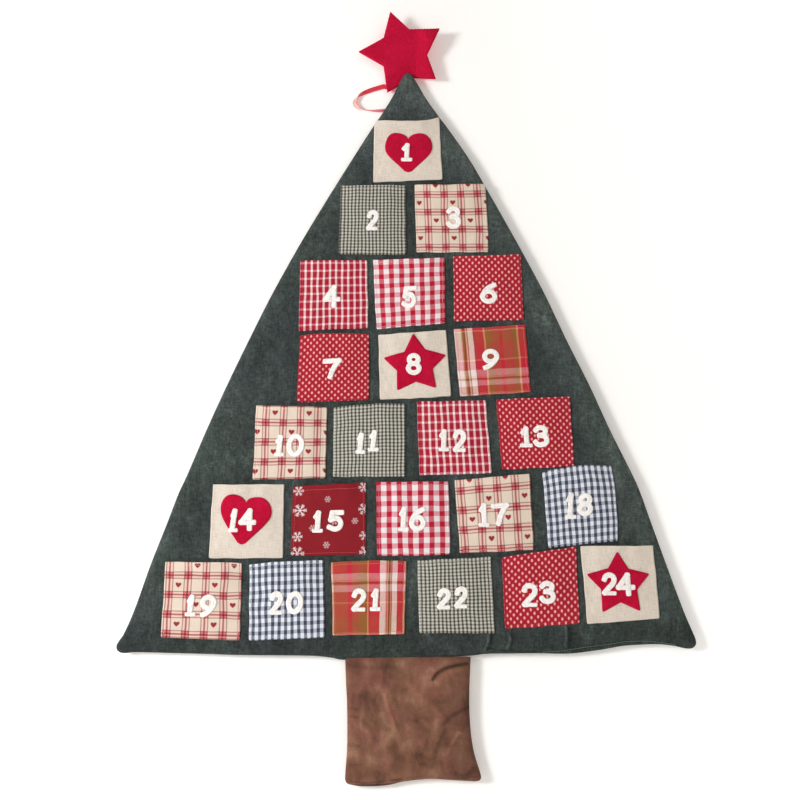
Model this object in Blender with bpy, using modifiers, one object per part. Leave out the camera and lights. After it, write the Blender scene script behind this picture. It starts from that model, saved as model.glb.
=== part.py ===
"""Hanging advent calendar: a padded felt tree with twenty-four sewn-on pockets.

Metres, +Z up. The calendar hangs upright and faces -Y. The origin is where the hanging loop is
stitched to the back of the tree's tip. Everything is drawn in the plane of the picture, x to the
right, y up and z towards the viewer, under an empty that stands that plane upright.
"""

import math

import bmesh
import bpy
from mathutils import Vector
from mathutils.geometry import delaunay_2d_cdt

# General
CLEARANCE = 0.0003
FELT = 0.0015
CLOTH = 0.0008

# Pockets and their grid, which sets the size of the tree
ROW_COUNTS = (1, 2, 3, 3, 4, 5, 6)
POCKET_WIDTH = 0.090
POCKET_HEIGHT = 0.091
POCKET_DEPTH = 0.0047
COLUMN_GAP = 0.0125
ROW_GAP = 0.0075
GRID_SHIFT = 0.005
GRID_SLOPE_DEG = 2.2
SEAM_STRIP = 0.002
POCKET_RAMP = 0.003
POCKET_RAMP_SHARES = ((0.0, 0.0), (0.4, 0.75), (1.0, 1.0))
MOUTH_GAPE = 0.0015
MOUTH_BAND = 0.009

# Tree
TIP_MARGIN = 0.073
SIDE_MARGIN = 0.043
HEM_MARGIN = 0.026
TREE_THICKNESS = 0.012
TREE_RIM = 0.007
SIDE_BOW = 0.035
HEM_BOW = 0.008
TREE_SWAY = 0.004
TIP_RADIUS = 0.003
CORNER_RADIUS = 0.008
LOOP_DROP = 0.039

# Trunk
TRUNK_WIDTH = 0.151
TRUNK_FLARE = 0.007
TRUNK_LENGTH = 0.148
TRUNK_THICKNESS = 0.010
TRUNK_RIM = 0.007
TRUNK_SKEW = 0.007
TRUNK_CORNER_RADIUS = 0.006

# Star on the tip, its notches counted clockwise from the low one, under which the tip laps
STAR_TIPS = 5
STAR_RADIUS = 0.0635
STAR_THICKNESS = 0.003
STAR_LAP = 0.0046
STAR_TILT_DEG = 15.0
STAR_NOTCH_SHARES = (0.66, 0.52, 0.54, 0.59, 0.54)

# Hanging loop, a flat satin ribbon sewn down by both ends, which leans once it has turned free
RIBBON_WIDTH = 0.005
RIBBON_THICKNESS = 0.0005
RIBBON_LEAN_DEG = 25.0
RIBBON_TURN = 0.019
RIBBON_ROUTE = (
    (0.0070, 0.0052, 0.0000),
    (0.0000, 0.0062, 0.0000),
    (-0.0100, 0.0115, -0.0005),
    (-0.0200, 0.0195, -0.0011),
    (-0.0301, 0.0250, -0.0011),
    (-0.0420, 0.0222, -0.0011),
    (-0.0523, 0.0185, -0.0011),
    (-0.0620, 0.0141, -0.0011),
    (-0.0697, 0.0085, -0.0011),
    (-0.0731, 0.0010, -0.0011),
    (-0.0708, -0.0060, -0.0011),
    (-0.0640, -0.0105, -0.0011),
    (-0.0550, -0.0125, -0.0011),
    (-0.0448, -0.0131, -0.0011),
    (-0.0316, -0.0126, -0.0011),
    (-0.0200, -0.0105, -0.0011),
    (-0.0100, -0.0075, -0.0005),
    (0.0000, -0.0052, 0.0000),
    (0.0070, -0.0046, 0.0000),
)
RIBBON_STEPS = 3

# Felt shapes on four of the pockets
APPLIQUE_THICKNESS = 0.0015
HEART_WIDTH = 0.062
HEART_HEIGHT = 0.062
HEART_SHARES = (
    ((0, -0.50), (-0.16, -0.30), (0.16, -0.30)),
    ((0.50, 0.19), (0.50, -0.02), (0.50, 0.37)),
    ((0.22, 0.50), (0.38, 0.50), (0.08, 0.50)),
    ((0, 0.34), (0.02, 0.42), (-0.02, 0.42)),
    ((-0.22, 0.50), (-0.08, 0.50), (-0.38, 0.50)),
    ((-0.50, 0.19), (-0.50, 0.37), (-0.50, -0.02)),
)
PATCH_STAR_RADIUS = 0.039
PATCH_STAR_WAIST_SHARE = 0.60
PATCH_TIP_RADIUS = 0.0022

# Felt numbers
DIGIT_HEIGHT = 0.030
DIGIT_STROKE = 0.0062
DIGIT_LAP = 0.0007
DIGIT_THICKNESS = 0.0012

# Fineness of the curves
ARC_STEPS = 4
TIP_STEPS = 2
SIDE_STEPS = 7
HEM_STEPS = 4
CAP_STEPS = 4
BOWL_STEPS = 6

# The padding's section from the seam to the flat: (share of the rim, share of the half thickness)
SECTION_SHARES = ((0.0, 0.0), (0.30, 0.38), (0.65, 0.78), (1.0, 1.0))
MIN_ROUND_SHARE = 0.25

# For each pocket: its shift to the right and up in shares of the gaps round it, then the shift of
# its number in shares of the pocket
POCKET_SHIFT_SHARES = (
    (-0.36, 0.07, -0.01, -0.07),
    (0.05, -0.10, 0.00, -0.02),
    (0.13, -0.21, 0.04, -0.01),
    (0.13, -0.54, -0.03, -0.04),
    (-0.14, -0.61, -0.01, -0.09),
    (-0.19, -0.31, 0.01, -0.10),
    (0.23, -0.58, -0.02, -0.03),
    (0.26, -0.60, 0.00, -0.01),
    (0.12, -0.29, -0.03, -0.01),
    (0.08, -0.13, 0.01, -0.06),
    (-0.14, -0.43, -0.03, -0.03),
    (0.13, -0.34, -0.01, -0.06),
    (0.23, -0.08, -0.02, -0.06),
    (0.08, -0.03, -0.06, 0.00),
    (-0.02, -0.29, 0.00, -0.04),
    (0.11, -0.60, -0.01, -0.02),
    (0.04, -0.42, -0.02, -0.02),
    (0.34, 0.28, -0.02, 0.00),
    (0.04, 0.50, -0.01, -0.08),
    (0.10, -0.07, 0.00, -0.04),
    (-0.12, -0.18, -0.04, -0.04),
    (0.16, -0.34, -0.04, -0.04),
    (0.28, 0.23, -0.03, -0.08),
    (-0.12, 0.59, -0.04, -0.02),
)
POCKET_TILTS_DEG = (
    2.0, -0.5, 1.0, 1.1, 2.5, 0.9, 0.5, 3.2, 3.6, -0.3, 1.1, 2.1,
    2.6, -0.1, 1.0, 0.9, 3.2, 3.4, -0.8, 2.2, 0.6, 1.5, 3.2, 2.6,
)
APPLIQUES = {1: "heart", 8: "star", 14: "heart", 24: "star"}
APPLIQUE_SHIFT_SHARES = {1: (0.02, -0.08), 8: (0.02, 0.0), 14: (-0.01, 0.0), 24: (-0.02, -0.02)}
APPLIQUE_TILTS_DEG = {1: 1.0, 8: 3.2, 14: -4.5, 24: 1.9}
LINEN, GREY, HEARTS, PANES, GINGHAM = "linen", "grey_check", "heart_plaid", "red_panes", "red_gingham"
DOTS, SNOW, NAVY, MADRAS = "red_dots", "red_snow", "navy_check", "madras"
POCKET_CLOTHS = (
    LINEN, GREY, HEARTS, PANES, GINGHAM, DOTS, DOTS, LINEN, MADRAS, HEARTS, GREY, PANES,
    DOTS, LINEN, SNOW, GINGHAM, HEARTS, NAVY, HEARTS, NAVY, MADRAS, GREY, DOTS, LINEN,
)

# Colours, linear red, green and blue, and roughness
FINISHES = {
    "tree_felt": ((0.030, 0.046, 0.042), 0.95),
    "wadding": ((0.80, 0.79, 0.76), 1.0),
    "suede": ((0.145, 0.052, 0.028), 0.75),
    "red_felt": ((0.50, 0.010, 0.028), 0.95),
    "ribbon": ((0.55, 0.012, 0.028), 0.35),
    "white_felt": ((0.82, 0.77, 0.70), 0.95),
    LINEN: ((0.68, 0.59, 0.48), 0.9),
    GREY: ((0.22, 0.21, 0.18), 0.9),
    HEARTS: ((0.62, 0.42, 0.33), 0.9),
    PANES: ((0.50, 0.07, 0.10), 0.9),
    GINGHAM: ((0.58, 0.27, 0.28), 0.9),
    DOTS: ((0.48, 0.09, 0.12), 0.9),
    SNOW: ((0.27, 0.02, 0.03), 0.9),
    NAVY: ((0.22, 0.25, 0.34), 0.9),
    MADRAS: ((0.42, 0.10, 0.06), 0.9),
}

# Derived sizes
COLUMN_PITCH = POCKET_WIDTH + COLUMN_GAP
ROW_PITCH = POCKET_HEIGHT + ROW_GAP
ROWS = len(ROW_COUNTS)
TREE_HALF_WIDTH = ROW_COUNTS[-1] * COLUMN_PITCH / 2 + SIDE_MARGIN
TREE_HEIGHT = TIP_MARGIN + ROWS * ROW_PITCH - ROW_GAP + HEM_MARGIN
TREE_HALF = TREE_THICKNESS / 2
TRUNK_HALF = TRUNK_THICKNESS / 2
TIP_Y = LOOP_DROP
HEM_Y = TIP_Y - TREE_HEIGHT
BACK_LEVEL = RIBBON_THICKNESS / 2 + CLEARANCE
SEAM_LEVEL = BACK_LEVEL + TREE_HALF
FACE_LEVEL = BACK_LEVEL + TREE_THICKNESS
POCKET_LEVEL = FACE_LEVEL + CLEARANCE
POCKET_FRONT = POCKET_LEVEL + POCKET_DEPTH + CLOTH

# Centre lines of the ten digits, as shares of the digit's height. A stroke is a list of points,
# or ("arc", centre x, centre y, radius x, radius y, from, to) in degrees.
DIGIT_SHARES = {
    "0": (0.74, (("arc", 0.37, 0.50, 0.265, 0.395, 90, 270), ("arc", 0.37, 0.50, 0.265, 0.395, -90, 90))),
    "1": (0.48, (((0.12, 0.73), (0.27, 0.88), (0.27, 0.11)), ((0.11, 0.11), (0.37, 0.11)))),
    "2": (0.64, (("arc", 0.31, 0.66, 0.20, 0.23, 165, -40), ((0.46, 0.50), (0.12, 0.11)),
                 ((0.12, 0.11), (0.53, 0.11)))),
    "3": (0.64, (("arc", 0.30, 0.69, 0.20, 0.20, 140, -90), ("arc", 0.31, 0.31, 0.22, 0.20, 90, -145))),
    "4": (0.74, (((0.46, 0.89), (0.11, 0.36)), ((0.11, 0.36), (0.63, 0.36)), ((0.46, 0.89), (0.46, 0.11)))),
    "5": (0.66, (((0.51, 0.89), (0.20, 0.89)), ((0.20, 0.89), (0.17, 0.55)),
                 ("arc", 0.31, 0.35, 0.24, 0.24, 125, -145))),
    "6": (0.68, (("arc", 0.34, 0.34, 0.23, 0.23, 0, 180), ("arc", 0.34, 0.34, 0.23, 0.23, 180, 360),
                 ("arc", 0.51, 0.34, 0.40, 0.55, 180, 100))),
    "7": (0.70, (((0.11, 0.87), (0.58, 0.87)), ((0.58, 0.87), (0.38, 0.50), (0.28, 0.11)))),
    "8": (0.66, (("arc", 0.33, 0.70, 0.18, 0.19, 0, 180), ("arc", 0.33, 0.70, 0.18, 0.19, 180, 360),
                 ("arc", 0.33, 0.31, 0.22, 0.20, 0, 180), ("arc", 0.33, 0.31, 0.22, 0.20, 180, 360))),
    "9": (0.68, (("arc", 0.34, 0.66, 0.23, 0.23, 0, 180), ("arc", 0.34, 0.66, 0.23, 0.23, 180, 360),
                 ("arc", 0.17, 0.66, 0.40, 0.55, 0, -80))),
}


def finish(name):
    """A plain material of the given finish, made once."""
    material = bpy.data.materials.get(name)
    if material is None:
        colour, roughness = FINISHES[name]
        material = bpy.data.materials.new(name)
        material.use_nodes = True
        shader = material.node_tree.nodes["Principled BSDF"]
        shader.inputs["Base Color"].default_value = (*colour, 1)
        shader.inputs["Roughness"].default_value = roughness
        shader.inputs["Metallic"].default_value = 0
        material.diffuse_color = (*colour, 1)
    return material


def empty(name, parent=None, at=(0, 0, 0), rotation=(0, 0, 0)):
    """An empty that carries other objects."""
    holder = bpy.data.objects.new(name, None)
    holder.location = at
    holder.rotation_euler = rotation
    holder.parent = parent
    bpy.context.scene.collection.objects.link(holder)
    return holder


def place(name, data, parent, slot, at=(0, 0, 0), tilt=0.0):
    """A named object with its own material, turned by tilt degrees in the picture plane."""
    piece = bpy.data.objects.new(name, data)
    piece.location = at
    piece.rotation_euler = (0, 0, math.radians(tilt))
    piece.parent = parent
    data.materials.append(finish(slot))
    calendar.objects.link(piece)
    return piece


def mesh_from(name, bm):
    """The mesh of a bmesh, with its faces turned outwards."""
    bmesh.ops.recalc_face_normals(bm, faces=bm.faces)
    mesh = bpy.data.meshes.new(name)
    bm.to_mesh(mesh)
    bm.free()
    return mesh


def loft(name, rings):
    """A closed skin through rings of as many points each, capped at both ends."""
    bm = bmesh.new()
    loops = [[bm.verts.new(point) for point in ring] for ring in rings]
    count = len(loops[0])
    for lower, upper in zip(loops, loops[1:]):
        for i in range(count):
            j = (i + 1) % count
            bm.faces.new((lower[i], lower[j], upper[j], upper[i]))
    bm.faces.new(loops[0])
    bm.faces.new(reversed(loops[-1]))
    return mesh_from(name, bm)


def inset(points, distance):
    """The polygon, anticlockwise, with each edge moved inwards."""
    moved = []
    for i, point in enumerate(points):
        back = (point - points[i - 1]).normalized()
        ahead = (points[(i + 1) % len(points)] - point).normalized()
        one = Vector((-back.y, back.x))
        two = Vector((-ahead.y, ahead.x))
        moved.append(point + (one + two) * distance / (1 + one.dot(two)))
    return moved


def rounded(points, radii, steps):
    """The polygon with an arc at each corner that has a radius."""
    outline = []
    for i, point in enumerate(points):
        radius = radii.get(i, 0)
        if not radius:
            outline.append(point)
            continue
        back = (points[i - 1] - point).normalized()
        ahead = (points[(i + 1) % len(points)] - point).normalized()
        half = back.angle(ahead) / 2
        middle = (back + ahead).normalized()
        centre = point + middle * radius / math.sin(half)
        start = point + back * radius / math.tan(half) - centre
        sweep = math.pi - 2 * half
        turn = sweep if back.cross(ahead) < 0 else -sweep
        for step in range(steps + 1):
            angle = turn * step / steps
            cosine, sine = math.cos(angle), math.sin(angle)
            arm = Vector((start.x * cosine - start.y * sine, start.x * sine + start.y * cosine))
            outline.append(centre + arm)
    return outline


def tree_side(share, side):
    """A point of the tree's left or right edge, from the tip at 0 to the hem's corner at 1."""
    half = TREE_HALF_WIDTH * share + 4 * SIDE_BOW * share * (1 - share)
    sway = TREE_SWAY * (1 - share) ** 2
    fall = TREE_HEIGHT - HEM_BOW
    return Vector((side * half + sway, TIP_Y - fall * share))


def tree_polygon():
    """The tree's seam line, anticlockwise from the tip, and the radii of its three corners."""
    points = [tree_side(step / SIDE_STEPS, -1) for step in range(SIDE_STEPS + 1)]
    left, right = tree_side(1, -1), tree_side(1, 1)
    for step in range(1, HEM_STEPS):
        share = step / HEM_STEPS
        sag = 4 * HEM_BOW * share * (1 - share)
        points.append(left.lerp(right, share) - Vector((0, sag)))
    points += [tree_side(step / SIDE_STEPS, 1) for step in range(SIDE_STEPS, 0, -1)]
    corners = {0: TIP_RADIUS, SIDE_STEPS: CORNER_RADIUS, SIDE_STEPS + HEM_STEPS: CORNER_RADIUS}
    return points, corners


def trunk_polygon():
    """The trunk's seam line, anticlockwise from its top left corner, hanging from y = 0."""
    top, foot = TRUNK_WIDTH / 2, (TRUNK_WIDTH + TRUNK_FLARE) / 2
    points = [
        Vector((-top, 0)),
        Vector((TRUNK_SKEW - foot, -TRUNK_LENGTH)),
        Vector((TRUNK_SKEW + foot, TRUNK_SKEW - TRUNK_LENGTH)),
        Vector((top, 0)),
    ]
    return points, {i: TRUNK_CORNER_RADIUS for i in range(len(points))}


def ring(shape, distance, level):
    """One ring of a padded form: its outline moved inwards, at a level towards the viewer."""
    points, corners = shape
    least = {i: max(radius - distance, radius * MIN_ROUND_SHARE) for i, radius in corners.items()}
    return [Vector((p.x, p.y, level)) for p in rounded(inset(points, distance), least, ARC_STEPS)]


def half_shell(name, shape, seam, half, rim, side):
    """One sewn felt face of a padded form: a crowned tray that is open at the seam."""
    start = seam + side * CLEARANCE / 2
    outer = [
        ring(shape, rim * along, start + side * (half - CLEARANCE / 2) * up)
        for along, up in SECTION_SHARES
    ]
    inner = [
        ring(shape, FELT + rim * along, start + side * (half - CLEARANCE / 2 - FELT) * up)
        for along, up in SECTION_SHARES
    ]
    return loft(name, outer[::-1] + inner)


def wadding(name, shape, seam, half, rim):
    """The filling between two felt faces."""
    skin = FELT + CLEARANCE
    back = [ring(shape, skin + rim * along, seam - (half - skin) * up) for along, up in SECTION_SHARES]
    front = [ring(shape, skin + rim * along, seam + (half - skin) * up) for along, up in SECTION_SHARES]
    return loft(name, back[::-1] + front[1:])


def split_level(mesh, level):
    """Cuts the mesh's faces along a horizontal line."""
    bm = bmesh.new()
    bm.from_mesh(mesh)
    everything = bm.verts[:] + bm.edges[:] + bm.faces[:]
    bmesh.ops.bisect_plane(bm, geom=everything, plane_co=(0, level, 0), plane_no=(0, 1, 0))
    bm.to_mesh(mesh)
    bm.free()


def make_tree(frame):
    """The padded tree: two felt faces and the wadding between them."""
    shape = tree_polygon()
    front = half_shell("tree_front", shape, SEAM_LEVEL, TREE_HALF, TREE_RIM, 1)
    back = half_shell("tree_back", shape, SEAM_LEVEL, TREE_HALF, TREE_RIM, -1)
    split_level(back, TIP_Y - TIP_MARGIN - POCKET_HEIGHT)
    place("tree_front", front, frame, "tree_felt")
    place("tree_back", back, frame, "tree_felt")
    filling = wadding("tree_wadding", shape, SEAM_LEVEL, TREE_HALF, TREE_RIM)
    place("tree_wadding", filling, frame, "wadding")


def make_trunk(frame):
    """The padded trunk, which folds about the line of the hem."""
    axis = empty("trunk_fold_axis", frame, (0, HEM_Y, SEAM_LEVEL))
    points, corners = trunk_polygon()
    shape = [point - Vector((0, CLEARANCE)) for point in points], corners
    for name, side in (("trunk_front", 1), ("trunk_back", -1)):
        place(name, half_shell(name, shape, 0, TRUNK_HALF, TRUNK_RIM, side), axis, "suede")
    place("trunk_wadding", wadding("trunk_wadding", shape, 0, TRUNK_HALF, TRUNK_RIM), axis, "wadding")


def star_angle(count, tilt):
    """The direction of a notch, or halfway on of the tip after it, clockwise from the low notch."""
    return math.radians(tilt - 90 - 360 * count / STAR_TIPS)


def star_points(radius, notches, tilt):
    """A star round the origin, its tips at the even places, anticlockwise."""
    points = []
    for i in range(STAR_TIPS):
        notch, tip = star_angle(i, tilt), star_angle(i + 0.5, tilt)
        points.append(Vector((math.cos(notch), math.sin(notch))) * radius * notches[i])
        points.append(Vector((math.cos(tip), math.sin(tip))) * radius)
    return points[::-1]


def plate(name, points, thickness):
    """A flat felt piece as a filled 2D curve, half its thickness to each side of its own plane."""
    curve = bpy.data.curves.new(name, "CURVE")
    curve.dimensions = "2D"
    curve.fill_mode = "BOTH"
    curve.extrude = thickness / 2
    spline = curve.splines.new("POLY")
    spline.points.add(len(points) - 1)
    for slot, point in zip(spline.points, points):
        slot.co = (point.x, point.y, 0, 1)
    spline.use_cyclic_u = True
    return curve


def back_rise(distance):
    """How far the tree's back bulges behind the seam, at a distance in from the seam."""
    share = min(distance / TREE_RIM, 1)
    for (near, low), (far, high) in zip(SECTION_SHARES, SECTION_SHARES[1:]):
        if share <= far:
            return TREE_HALF * (low + (high - low) * (share - near) / (far - near))
    return TREE_HALF


def star_front():
    """The level of the star's front, just behind the tip that laps over it."""
    first = tree_side(1 / SIDE_STEPS, 1) - tree_side(0, 1)
    half_angle = math.atan2(first.x, -first.y)
    return SEAM_LEVEL - back_rise(STAR_LAP * math.sin(half_angle)) - CLEARANCE


def make_star(frame):
    """The felt star, sewn behind the tip with its low notch under it."""
    low = star_angle(0, STAR_TILT_DEG)
    arm = STAR_RADIUS * STAR_NOTCH_SHARES[0]
    centre_x = TREE_SWAY - arm * math.cos(low)
    centre_y = TIP_Y - STAR_LAP - arm * math.sin(low)
    points = star_points(STAR_RADIUS, STAR_NOTCH_SHARES, STAR_TILT_DEG)
    level = star_front() - STAR_THICKNESS / 2
    star = plate("star_topper", points, STAR_THICKNESS)
    place("star_topper", star, frame, "red_felt", (centre_x, centre_y, level))


def smooth_route(points, steps):
    """A smooth curve through the points, as Catmull-Rom spans."""
    ends = [2 * points[0] - points[1], *points, 2 * points[-1] - points[-2]]
    line = []
    for a, b, c, d in zip(ends, ends[1:], ends[2:], ends[3:]):
        for step in range(steps):
            t = step / steps
            line.append(0.5 * (2 * b + (c - a) * t + (2 * a - 5 * b + 4 * c - d) * t**2
                               + (3 * b - a - 3 * c + d) * t**3))
    return line + [points[-1]]


def make_loop(frame):
    """The ribbon loop: flat where it is stitched, a little on edge along the free part."""
    line = smooth_route([Vector(point) for point in RIBBON_ROUTE], RIBBON_STEPS)
    curve = bpy.data.curves.new("hanging_loop", "CURVE")
    curve.dimensions = "3D"
    curve.twist_mode = "Z_UP"
    curve.fill_mode = "FULL"
    curve.extrude = (RIBBON_WIDTH - RIBBON_THICKNESS) / 2
    curve.bevel_depth = RIBBON_THICKNESS / 2
    curve.bevel_resolution = 0
    curve.use_fill_caps = True
    spline = curve.splines.new("POLY")
    spline.points.add(len(line) - 1)
    for slot, point in zip(spline.points, line):
        free = min(1, max(0, -point.x / RIBBON_TURN))
        slot.co = (*point, 1)
        slot.tilt = math.radians(90 - RIBBON_LEAN_DEG * free)
    anchor = empty("hanging_loop_axis", frame)
    place("hanging_loop", curve, anchor, "ribbon")


def pocket_places():
    """For each pocket: its centre in the picture plane, and its tilt in degrees."""
    places = []
    slope = math.tan(math.radians(GRID_SLOPE_DEG))
    for row, count in enumerate(ROW_COUNTS):
        middle = TIP_Y - TIP_MARGIN - POCKET_HEIGHT / 2 - row * ROW_PITCH
        for column in range(count):
            right, up, _, _ = POCKET_SHIFT_SHARES[len(places)]
            across = (column - (count - 1) / 2) * COLUMN_PITCH
            x = GRID_SHIFT + across + right * COLUMN_GAP
            y = middle + slope * across + up * ROW_GAP
            places.append((x, y, POCKET_TILTS_DEG[len(places)]))
    return places


def pocket_cloth(name):
    """The front of a pocket, sewn down on three sides and open at the top."""
    ramp = [(0, 0)] + [(SEAM_STRIP + POCKET_RAMP * along, up) for along, up in POCKET_RAMP_SHARES]
    left = [(distance - POCKET_WIDTH / 2, rise) for distance, rise in ramp]
    right = [(-x, rise) for x, rise in reversed(left)]
    columns = left + [(0, 1)] + right
    low = [(distance - POCKET_HEIGHT / 2, rise) for distance, rise in ramp]
    rows = low + [(POCKET_HEIGHT / 2 - MOUTH_BAND, 1), (POCKET_HEIGHT / 2, 1)]
    bm = bmesh.new()
    bmesh.ops.create_grid(bm, x_segments=len(columns) - 1, y_segments=len(rows) - 1, size=1)
    for vert in bm.verts:
        x, across = columns[round((vert.co.x + 1) / 2 * (len(columns) - 1))]
        y, along = rows[round((vert.co.y + 1) / 2 * (len(rows) - 1))]
        gape = MOUTH_GAPE if y == POCKET_HEIGHT / 2 and x == 0 else 0
        vert.co = (x, y, POCKET_DEPTH * min(across, along) + gape)
    mesh = bpy.data.meshes.new(name)
    bm.to_mesh(mesh)
    bm.free()
    return mesh


def make_pocket(frame, number, x, y, tilt):
    """One cloth pocket on the face of the tree."""
    name = f"pocket_{number:02d}"
    slot = POCKET_CLOTHS[number - 1]
    pocket = place(name, pocket_cloth(name), frame, slot, (x, y, POCKET_LEVEL), tilt)
    cloth = pocket.modifiers.new("cloth", "SOLIDIFY")
    cloth.thickness = CLOTH
    cloth.offset = 1
    cloth.use_even_offset = True


def heart_curve(name, thickness):
    """A felt heart as a flat Bezier outline."""
    curve = bpy.data.curves.new(name, "CURVE")
    curve.dimensions = "2D"
    curve.fill_mode = "BOTH"
    curve.extrude = thickness / 2
    curve.resolution_u = ARC_STEPS
    curve.render_resolution_u = 0
    spline = curve.splines.new("BEZIER")
    spline.bezier_points.add(len(HEART_SHARES) - 1)
    for slot, shares in zip(spline.bezier_points, HEART_SHARES):
        knot, before, after = ((x * HEART_WIDTH, y * HEART_HEIGHT, 0) for x, y in shares)
        slot.handle_left_type = slot.handle_right_type = "FREE"
        slot.co, slot.handle_left, slot.handle_right = knot, before, after
    spline.use_cyclic_u = True
    return curve


def make_applique(frame, number, x, y):
    """The felt heart or star on a pocket."""
    kind = APPLIQUES[number]
    name = f"{kind}_{number:02d}"
    tilt = APPLIQUE_TILTS_DEG[number]
    right, up = APPLIQUE_SHIFT_SHARES[number]
    if kind == "heart":
        shape = heart_curve(name, APPLIQUE_THICKNESS)
    else:
        points = star_points(PATCH_STAR_RADIUS, [PATCH_STAR_WAIST_SHARE] * STAR_TIPS, 0)
        tips = {i: PATCH_TIP_RADIUS for i in range(0, len(points), 2)}
        shape = plate(name, rounded(points, tips, TIP_STEPS), APPLIQUE_THICKNESS)
    level = POCKET_FRONT + CLEARANCE + APPLIQUE_THICKNESS / 2
    at = (x + right * POCKET_WIDTH, y + up * POCKET_HEIGHT, level)
    place(name, shape, frame, "red_felt", at, tilt)


def round_end(middle, out, edge):
    """The half circle at the end of a stroke, from one edge out and round to the other."""
    angles = [math.pi * step / CAP_STEPS for step in range(CAP_STEPS + 1)]
    return [middle + edge * math.cos(angle) + out * math.sin(angle) for angle in angles]


def stroke_outline(line, half):
    """The outline of a stroke of even width with round ends, anticlockwise."""
    sides = []
    for i, point in enumerate(line):
        back = (point - line[i - 1]).normalized() if i else (line[1] - point).normalized()
        ahead = (line[i + 1] - point).normalized() if i + 1 < len(line) else back
        one, two = Vector((-back.y, back.x)), Vector((-ahead.y, ahead.x))
        sides.append((one + two) * half / (1 + one.dot(two)))
    body = list(zip(line, sides))
    outline = [point - side for point, side in body[1:-1]]
    outline += round_end(line[-1], (line[-1] - line[-2]).normalized() * half, -sides[-1])
    outline += [point + side for point, side in reversed(body[1:-1])]
    outline += round_end(line[0], (line[0] - line[1]).normalized() * half, sides[0])
    return outline


def digit_strokes(digit):
    """The outlines of a digit's strokes, and the digit's width."""
    width, strokes = DIGIT_SHARES[digit]
    outlines = []
    for stroke in strokes:
        if stroke[0] == "arc":
            _, cx, cy, rx, ry, start, end = stroke
            turns = [start + (end - start) * step / BOWL_STEPS for step in range(BOWL_STEPS + 1)]
            angles = [math.radians(turn) for turn in turns]
            shares = [(cx + rx * math.cos(angle), cy + ry * math.sin(angle)) for angle in angles]
        else:
            shares = stroke
        line = [Vector((x * DIGIT_HEIGHT, (y - 0.5) * DIGIT_HEIGHT)) for x, y in shares]
        outlines.append(stroke_outline(line, DIGIT_STROKE / 2))
    return outlines, width * DIGIT_HEIGHT


def crossings(outlines, height):
    """Where the outlines cross a horizontal line."""
    found = []
    for outline in outlines:
        for start, end in zip(outline, outline[1:] + outline[:1]):
            if start.y != end.y and (start.y - height) * (end.y - height) <= 0:
                found.append(start.x + (end.x - start.x) * (height - start.y) / (end.y - start.y))
    return found


def gap_between(left, right):
    """The least horizontal gap between the outlines of two digits."""
    gap = DIGIT_HEIGHT
    for height in {point.y for outline in left + right for point in outline}:
        ends, starts = crossings(left, height), crossings(right, height)
        if ends and starts:
            gap = min(gap, min(starts) - max(ends))
    return gap


def number_outlines(text):
    """The outlines of a number's strokes about its middle, each digit just touching the last."""
    outlines = []
    for digit in text:
        strokes, width = digit_strokes(digit)
        if outlines:
            shift = gap_between(outlines, strokes) + DIGIT_LAP
            outlines = [[point + Vector((shift, 0)) for point in outline] for outline in outlines]
        outlines += strokes
        outlines = [[point - Vector((width, 0)) for point in outline] for outline in outlines]
    across = [point.x for outline in outlines for point in outline]
    middle = Vector(((min(across) + max(across)) / 2, 0))
    return [[point - middle for point in outline] for outline in outlines]


def number_mesh(name, text):
    """A number cut from felt: the union of its strokes, drawn flat and raised to its thickness."""
    points, faces = [], []
    for outline in number_outlines(text):
        faces.append(list(range(len(points), len(points) + len(outline))))
        points += outline
    flat, _, shapes, _, _, owners = delaunay_2d_cdt(points, [], faces, 1, CLEARANCE / 10)
    bm = bmesh.new()
    verts = [bm.verts.new((point.x, point.y, 0)) for point in flat]
    for shape, owner in zip(shapes, owners):
        if owner:
            bm.faces.new([verts[i] for i in shape])
    bmesh.ops.delete(bm, geom=[vert for vert in bm.verts if not vert.link_faces], context="VERTS")
    inner = [vert for vert in bm.verts if not vert.is_boundary]
    bmesh.ops.dissolve_verts(bm, verts=inner)
    raised = bmesh.ops.extrude_face_region(bm, geom=bm.faces[:])
    top = [item for item in raised["geom"] if isinstance(item, bmesh.types.BMVert)]
    bmesh.ops.translate(bm, verts=top, vec=(0, 0, DIGIT_THICKNESS))
    return mesh_from(name, bm)


def make_number(frame, number, x, y, tilt):
    """The felt number on a pocket, on top of its heart or star where it has one."""
    name = f"number_{number:02d}"
    _, _, right, up = POCKET_SHIFT_SHARES[number - 1]
    level = POCKET_FRONT + CLEARANCE
    if number in APPLIQUES:
        level += APPLIQUE_THICKNESS + CLEARANCE
    at = (x + right * POCKET_WIDTH, y + up * POCKET_HEIGHT, level)
    place(name, number_mesh(name, str(number)), frame, "white_felt", at, tilt)


for old in list(bpy.data.objects):
    bpy.data.objects.remove(old, do_unlink=True)
calendar = bpy.data.collections.new("advent_calendar")
bpy.context.scene.collection.children.link(calendar)
upright = empty("calendar_plane", rotation=(math.pi / 2, 0, 0))
make_tree(upright)
make_trunk(upright)
make_star(upright)
make_loop(upright)
for number, (x, y, tilt) in enumerate(pocket_places(), start=1):
    make_pocket(upright, number, x, y, tilt)
    if number in APPLIQUES:
        make_applique(upright, number, x, y)
    make_number(upright, number, x, y, tilt)
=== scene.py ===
import math
from functools import reduce

import bmesh
import bpy
import numpy as np
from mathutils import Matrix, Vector, noise
from mathutils.bvhtree import BVHTree
from mathutils.geometry import delaunay_2d_cdt


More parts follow.
